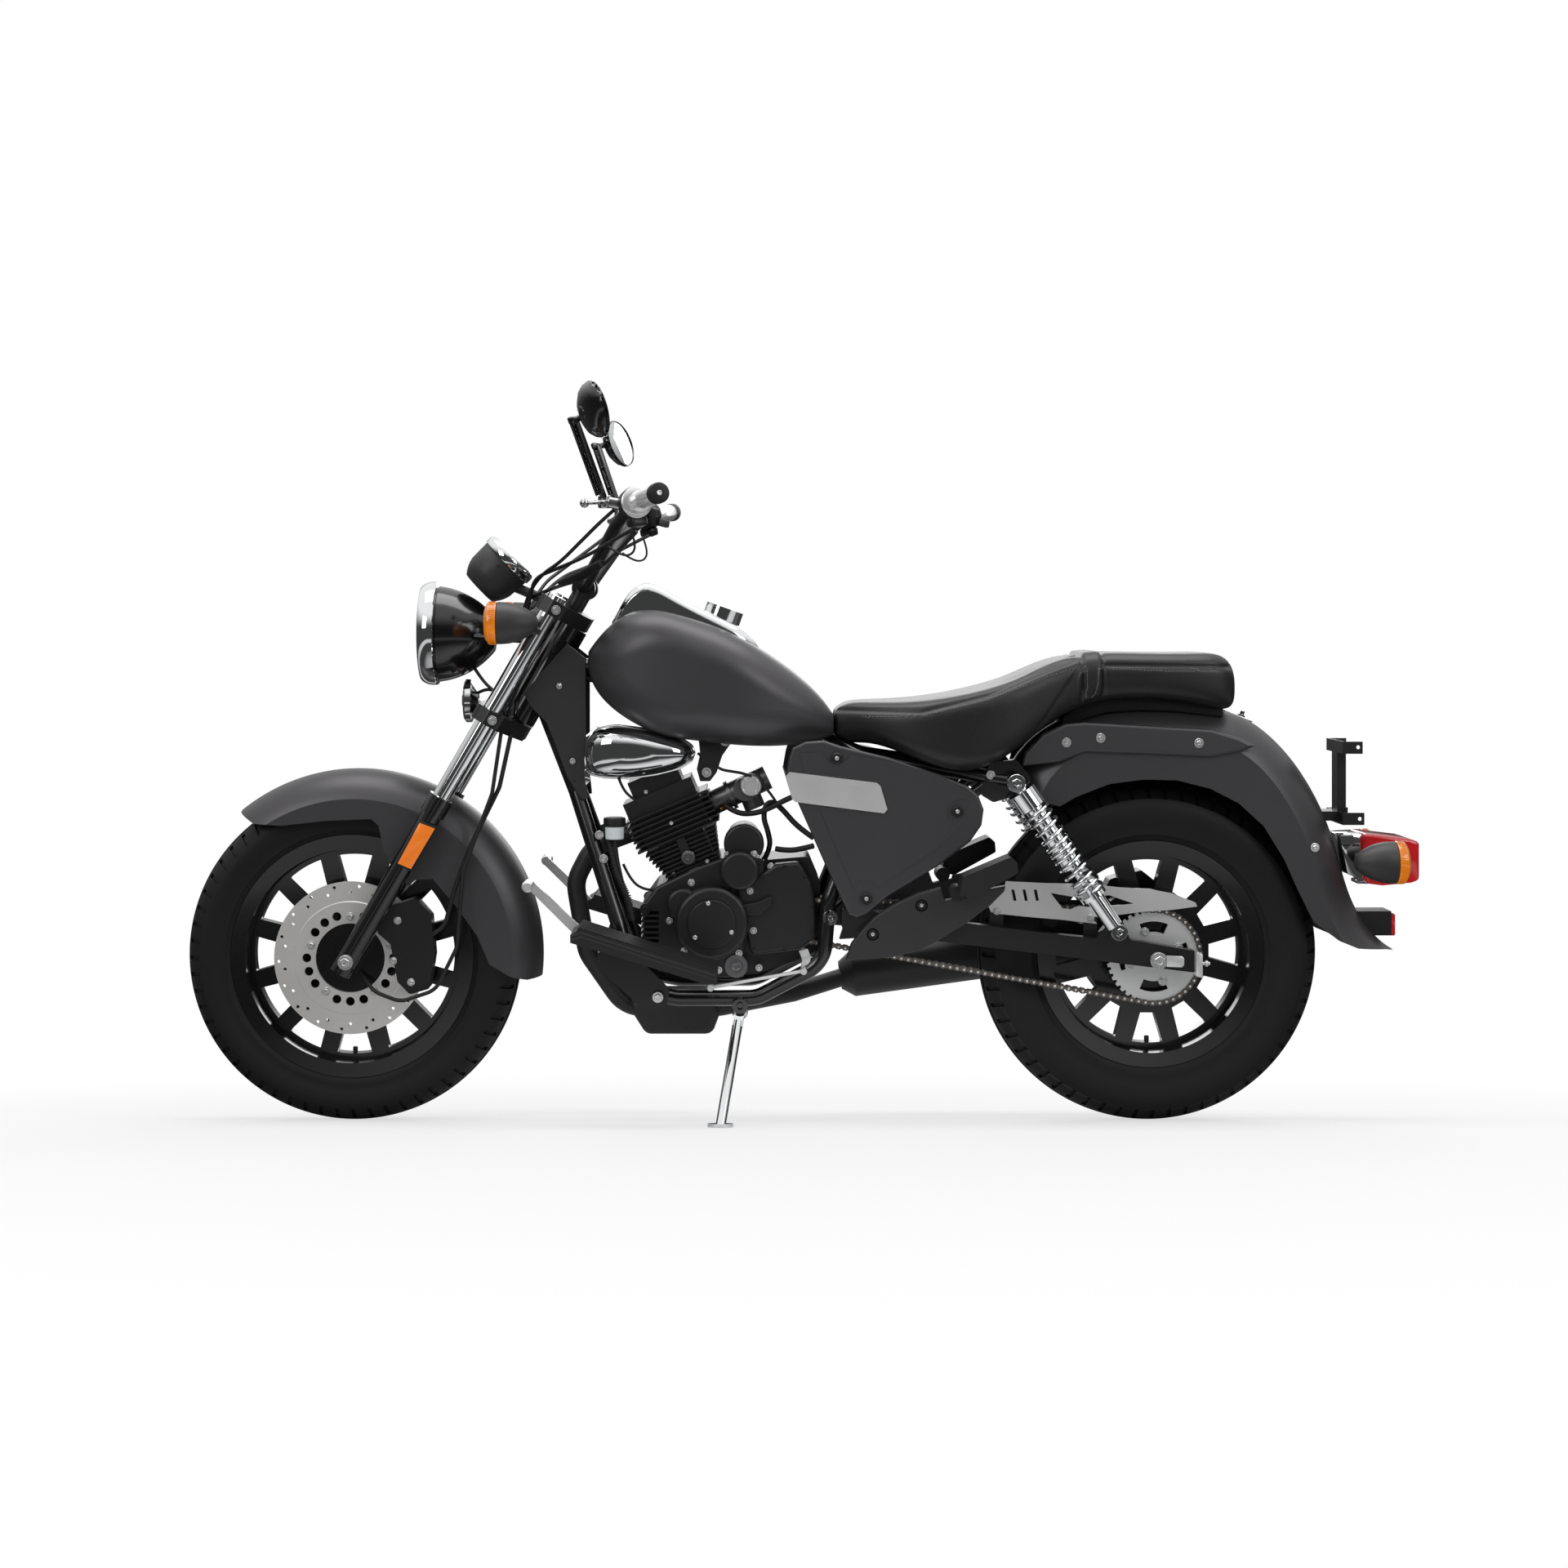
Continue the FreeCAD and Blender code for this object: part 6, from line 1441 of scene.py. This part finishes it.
cables("engine_wires", "chassis", [
    [(-96, -40, 668), (-60, -52, 640), (-34, -56, 636), (-10, -52, 632), (14, -44, 620)],
    [(10, -50, 636), (22, -56, 612), (40, -60, 590), (52, -58, 570)],
    [(-240, -60, 630), (-232, -62, 606), (-214, -62, 588), (-200, -60, 580)],
    [(-230, -60, 470), (-216, -66, 440), (-190, -70, 424), (-160, -70, 426), (-130, -66, 432)],
], 2.6)
cables("front_wiring", "fork", [
    [(-410, -60, 900), (-398, -84, 840), (-416, -84, 790), (-434, -78, 752), (-436, -72, 736)],
    [(-504, -16, 824), (-484, -36, 796), (-458, -56, 778), (-442, -62, 738)],
    [(-508, 12, 770), (-482, -10, 786), (-458, -30, 776), (-440, -44, 738)],
], 3.0)

# %% [markdown]
# The brake fluid bottle is milky plastic with a ribbed black cap, held to the front tube by a clip.

# %% Fluid bottle
BOTTLE_PLACE = (-245, -72, 516)
CAP_RIBS = 30
CAP_BAND = (26, 35)


def fluid_bottle():
    body = lathe([(0, 0), (0, 15), (1.5, 16.6), (22, 17.2), (23, 16), (23, 0)], BOTTLE_PLACE)
    dress(body, "fluid_bottle", "chassis", "cover_plastic", "milky_plastic")
    cap = lathe([(23.2, 0), (23.2, 19), (24.4, 20), (36, 20), (38.6, 18.6), (39.4, 15), (39.4, 0)],
                BOTTLE_PLACE, sides=CAP_RIBS * 2)

    def is_groove(spot):
        away = spot / MM - Vector(BOTTLE_PLACE)
        return (CAP_BAND[0] < away.z < CAP_BAND[1] and away.xy.length > 18
                and sector(away.y, away.x, CAP_RIBS * 2) % 2 == 0)

    push_faces(cap, is_groove, -0.9)
    neck = wire([(-245, -72, 517), (-244, -72, 500), (-240, -72, 470), (-230, -74, 430)], 4.6)
    clip = slab((-272, -70, 527), (-258, -70, 524), 10, 5, 1)
    dress(join_all([cap, neck, clip]), "fluid_bottle_cap", "chassis", "cover_plastic", "rubber")


FINISHES["milky_plastic"] = finish("milky_plastic", (0.62, 0.68, 0.68), 0.4, amount=0.12, scale=60)
fluid_bottle()

# %% [markdown]
# The bolts on the frame's front tube, on the fork's clamps and on the neck covers come here, because
# their places follow from the steering axis and from the bottle.

# %% Bolts round the neck
fasten("frame_bolts", "chassis", [(-272, -78, 524), (-264, -84, 482)], across=6, height=4, washer=8,
       both=False)
fasten("clamp_bolts", "fork", [tuple(on_fork(height, -34, -122)) for height in (UPPER_CLAMP, LOWER_CLAMP)],
       across=6, height=4, washer=8.5)
fasten("bar_clamp_bolts", "fork", [tuple(on_fork(UPPER_CLAMP + 78, -15, -45 + shift)) for shift in (-7, 7)],
       across=4, height=3, washer=0, direction=tuple(STEER_UP))
fasten("neck_cover_bolts", "chassis", [(-321, -62, 655), (-345, -62, 790)], across=3.6, height=2.4,
       washer=5.5)

# %% [markdown]
# Small things that the eye expects: the valve stem at each rim, and the shift rod that runs from the
# pedal to the gearbox.

# %% Valve stems and shift rod
def valve(name, body, axle, rim_radius):
    """Valve that stands inwards from the rim's foot."""
    stem = lathe([(0, 0), (0, 6), (3, 5.4), (4, 3.8), (24, 3.6), (25, 4.4), (34, 4.4), (35, 3.6),
                  (35, 0)], axle / MM + Vector((0, -6, -rim_radius + 14)), (0, 0, 1), 20)
    return dress(stem, name, body, "rubber")


valve("front_valve", "front_wheel", FRONT_AXLE, FRONT_RIM)
valve("rear_valve", "rear_wheel", REAR_AXLE, REAR_RIM)


def shift_rod():
    rod = wire([(-72, -150, 262), (92, -140, 290)], 3.2, smooth=False)
    ends = [wire([(-72, -158, 262), (-72, -140, 262)], 6, smooth=False),
            wire([(92, -150, 290), (92, -116, 290)], 6, smooth=False)]
    lever = plate([(84, 322), (100, 326), (106, 310), (100, 288), (92, 281), (86, 288), (90, 306)],
                  -112, -120, bevel=1.5)
    shaft = wire([(94, -98, 318), (94, -124, 318)], 7, smooth=False)
    dress(join_all([rod, *ends, lever, shaft]), "shift_linkage", "chassis", "polished_aluminium",
          "zinc_steel")


shift_rod()

# %% [markdown]
# The engine hangs from the frame by a plate at its head, and has a wide plug in its foot for the oil.
# The footboards have rubber beads along their outer edges.

# %% Engine hanger, sump plug and footboard edges
def engine_plates():
    hanger = plate([(-96, 706), (-22, 712), (-34, 690), (-52, 664), (-62, 634), (-74, 618), (-92, 618),
                    (-98, 640), (-92, 668)], -44, -50, bevel=1.2)
    dress(hanger, "engine_hanger", "chassis", "engine_black")
    plug = lathe([(0, 0), (0, 21), (3, 21), (4, 20), (4, 12), (3, 11), (3, 0)], (-27, -89, 291), LEFT, 48)
    hexagon = lathe([(2.8, 0), (2.8, 9), (4.4, 9), (4.8, 8), (3.6, 6), (3.6, 0)], (-27, -89, 291), LEFT, 6)
    dress(join_all([plug, hexagon]), "sump_plug", "chassis", "cast_alloy")
    edges = [wire([(-309, -286.6, level + 68), (-292, -286.6, level + 74), (-61, -286.6, level)], 2.6,
                  smooth=False) for level in (296, 303)]
    dress(with_mirror(join_all(edges)), "footboard_edges", "chassis", "rubber")


engine_plates()
fasten("hanger_bolts", "chassis", [(-47, -50, 690), (-80, -50, 634)], across=6, height=5, washer=9)

# %% [markdown]
# A chain stretches, so each end of the swingarm has an adjuster: a plate with a screw through it, and
# a guide beside the axle. Behind the seat, a small tab with a stud holds it to the fender.

# %% Chain adjusters and seat tab
def rear_fittings():
    end = plate([(785, 280), (797, 277), (797, 319), (785, 322)], -102, -141, bevel=1.5)
    screw = lathe([(0, 0), (0, 3), (9, 3), (9, 5.5), (13, 5.5), (13, 3), (17, 3), (17, 0)],
                  (796, -121, 300), (1, 0, 0), 24)
    guide = plate([(733, 297), (760, 296), (764, 300), (764, 312), (760, 316), (733, 317)], -138, -141,
                  bevel=1)
    dress(with_mirror(join_all([end, screw, guide])), "chain_adjusters", "chassis", "zinc_steel")
    tab = slab((860, 0, 744), (912, 0, 724), 26, 3, 1)
    stud = lathe([(0, 0), (0, 7), (4, 7), (5, 4), (11, 4), (12, 3), (12, 0)], (893, 0, 732),
                 (0.36, 0, 0.93), 20)
    dress(join_all([tab, stud]), "seat_tab", "chassis", "chrome")


rear_fittings()

# %% [markdown]
# The carburettor has a round cap with four screws, and there is one brass plug on its manifold.

# %% Carburettor fittings
def carburettor_fittings():
    nut = lathe([(0, 0), (0, 6), (8, 6), (8, 4), (14, 4), (14, 0)], (-44, -22, 571), (-0.9, -0.3, -0.3), 6)
    dress(nut, "brass_fitting", "chassis", "cast_alloy", "brass")
    cap = lathe([(0, 0), (0, 19), (3, 19), (4.5, 17.5), (4.5, 13), (3.4, 12), (3.4, 0)], (0, -46, 610),
                LEFT)
    spots = [on_circle(Vector((0, -49.4, 610)), 15, turn) for turn in (0.6, 2.2, 3.8, 5.4)]
    screws = stamp(lathe([(0, 0), (0, 3), (1.6, 3), (2, 2.4), (2, 0)], sides=16),
                   [put(spot, LEFT) for spot in spots])
    dress(join_all([cap, screws]), "carburettor_cap", "chassis", "cast_alloy", "polished_aluminium")


FINISHES["brass"] = finish("brass", (0.62, 0.42, 0.13), 0.25, metallic=1.0)
carburettor_fittings()

# %% [markdown]
# The floor is pale and matte. To the camera it glows a little, and more with distance, so that it
# meets the white background without a line, and it still shows the machine's shadow. What metal
# and paint mirror of it is pale near the wheels and dark further out, where a studio lays black
# cards, so that the dark sides of a leaning machine don't turn grey. One pale strip between the
# cards lights up the flat chrome.

# %% Floor
SHADOW_REACH = 0.9
FLOOR_EDGE = 2.6
GLOW_NEARBY = 0.62
CARDS = ((0.01, 0.0), (0.55, 0.0), (1.15, 1.0), (1.75, 1.0), (1.9, 0.25), (2.35, 0.25), (2.6, 1.0))
CARDS_END = 3.0
HORIZON_GLOSS = 0.05


def build_floor():
    bpy.ops.mesh.primitive_plane_add(size=60, location=(0, 0, 0))
    floor = bpy.context.object
    floor.name = "floor"
    made = bpy.data.materials.new("pale_floor")
    made.use_nodes = True
    tree = made.node_tree
    shader = tree.nodes["Principled BSDF"]
    shader.inputs["Base Color"].default_value = (0.86, 0.86, 0.87, 1)
    shader.inputs["Roughness"].default_value = 0.7
    glow = add_node(tree, "ShaderNodeEmission", values={"Color": (1, 1, 1, 1), "Strength": 1.0})
    path = add_node(tree, "ShaderNodeLightPath")
    seen = add_node(tree, "ShaderNodeMath", {"operation": "MAXIMUM"})
    share = add_node(tree, "ShaderNodeMath", {"operation": "MULTIPLY"})
    place = add_node(tree, "ShaderNodeTexCoord")
    away = add_node(tree, "ShaderNodeVectorMath", {"operation": "LENGTH"})
    fade = add_node(tree, "ShaderNodeMapRange", {"interpolation_type": "SMOOTHSTEP"}, {
        "From Min": SHADOW_REACH, "From Max": FLOOR_EDGE, "To Min": GLOW_NEARBY, "To Max": 1.0})
    blend = add_node(tree, "ShaderNodeMixShader")
    card = add_node(tree, "ShaderNodeEmission", values={"Color": (1, 1, 1, 1), "Strength": HORIZON_GLOSS})
    card_edge = add_node(tree, "ShaderNodeMapRange", values={"From Max": CARDS_END})
    cards = add_node(tree, "ShaderNodeValToRGB")
    for distance, dark in CARDS:
        stop = cards.color_ramp.elements.new(distance / CARDS_END)
        stop.color = (dark, dark, dark, 1)
    card_share = add_node(tree, "ShaderNodeMath", {"operation": "MULTIPLY"})
    result = add_node(tree, "ShaderNodeMixShader")
    connect(tree, (path, "Is Camera Ray", seen, 0), (path, "Is Transmission Ray", seen, 1),
            (away, "Value", card_edge, "Value"), (card_edge, "Result", cards, "Fac"),
            (cards, "Color", card_share, 0), (path, "Is Glossy Ray", card_share, 1),
            (card_share, 0, result, "Fac"), (seen, 0, share, 0), (place, "Object", away, 0),
            (away, "Value", fade, "Value"), (fade, "Result", share, 1), (share, 0, blend, "Fac"),
            (shader, 0, blend, 1), (glow, 0, blend, 2), (blend, 0, result, 1), (card, 0, result, 2),
            (result, 0, tree.nodes["Material Output"], "Surface"))
    floor.data.materials.append(made)


build_floor()

# %% [markdown]
# The studio has a white backdrop, which the camera and glass see. What metal and gloss paint mirror
# is a white ceiling over a dim horizon, as black cards round a set give, so that chrome shows its
# shape and black stays black. The world only lights the object softly.

# %% World
CEILING_START = 0.10
CEILING_FULL = 0.62
SOFT_LIGHT = 0.42


def build_world():
    world = bpy.data.worlds.new("studio")
    bpy.context.scene.world = world
    world.use_nodes = True
    tree = world.node_tree
    back = tree.nodes["Background"]
    back.inputs["Color"].default_value = (1, 1, 1, 1)
    path = add_node(tree, "ShaderNodeLightPath")
    place = add_node(tree, "ShaderNodeTexCoord")
    parts = add_node(tree, "ShaderNodeSeparateXYZ")
    ceiling = add_node(tree, "ShaderNodeMapRange", {"interpolation_type": "SMOOTHSTEP"}, {
        "From Min": CEILING_START, "From Max": CEILING_FULL, "To Min": HORIZON_GLOSS, "To Max": 1.0})
    mirrored = add_node(tree, "ShaderNodeMix", {"data_type": "FLOAT"}, {"A": SOFT_LIGHT})
    through = add_node(tree, "ShaderNodeMath", {"operation": "MAXIMUM"})
    level = add_node(tree, "ShaderNodeMix", {"data_type": "FLOAT"}, {"B": 1.0})
    connect(tree, (place, "Generated", parts, 0), (parts, "Z", ceiling, "Value"),
            (ceiling, "Result", mirrored, "B"), (path, "Is Glossy Ray", mirrored, "Factor"),
            (path, "Is Camera Ray", through, 0), (path, "Is Transmission Ray", through, 1),
            (through, 0, level, "Factor"), (mirrored, "Result", level, "A"),
            (level, "Result", back, "Strength"))


build_world()

# %% [markdown]
# Large lamps above, at both ends and on the far side shape the dark bodywork. The wider a lamp, the
# softer its shadow.

# %% Lamps
def soft_lamp(name, place, target, width, height, power):
    """A large rectangular lamp aimed at a point."""
    data = bpy.data.lights.new(name, "AREA")
    data.shape = "RECTANGLE"
    data.size = width
    data.size_y = height
    data.energy = power
    lamp = bpy.data.objects.new(name, data)
    lamp.location = place
    lamp.rotation_euler = (Vector(target) - Vector(place)).to_track_quat("-Z", "Y").to_euler()
    bpy.context.scene.collection.objects.link(lamp)


soft_lamp("top_lamp", (0, -0.2, 3.4), (0, 0, 0.5), 3.6, 1.6, 60)
soft_lamp("front_left_lamp", (-2.6, -3.4, 2.0), (-0.2, 0, 0.6), 1.8, 1.8, 38)
soft_lamp("back_right_lamp", (2.6, -2.6, 1.6), (0.3, 0, 0.6), 1.6, 1.6, 26)
soft_lamp("far_side_lamp", (0.4, 3.6, 2.2), (0, 0, 0.6), 3.0, 1.6, 34)

# %% [markdown]
# The camera stands square to the machine's left side, as far away and as high on the machine as in
# the photograph. It leans with the machine, so the parked bike is framed as the upright one is.

# %% Camera
CAMERA_PLACE = Vector((-0.029, -4.4, 0.937))
FRAME_WIDTH = 2.859
PHOTO_SIZE = 1920
FRAME_SHIFT = (60, -220)
SENSOR = 36.0
camera_data = bpy.data.cameras.new("camera")
camera_data.sensor_width = SENSOR
camera_data.lens = SENSOR * -CAMERA_PLACE.y / FRAME_WIDTH
camera_data.shift_x, camera_data.shift_y = [shift / PHOTO_SIZE for shift in FRAME_SHIFT]
camera = bpy.data.objects.new("camera", camera_data)
bpy.context.scene.collection.objects.link(camera)
camera.matrix_world = PARK @ Matrix.Translation(CAMERA_PLACE) @ Matrix.Rotation(math.pi / 2, 4, "X")
bpy.context.scene.camera = camera
bpy.context.scene.view_settings.view_transform = "Standard"

# %% Sizes and the end
def corners(box):
    return [[round(number, 6) for number in corner] for corner in box]
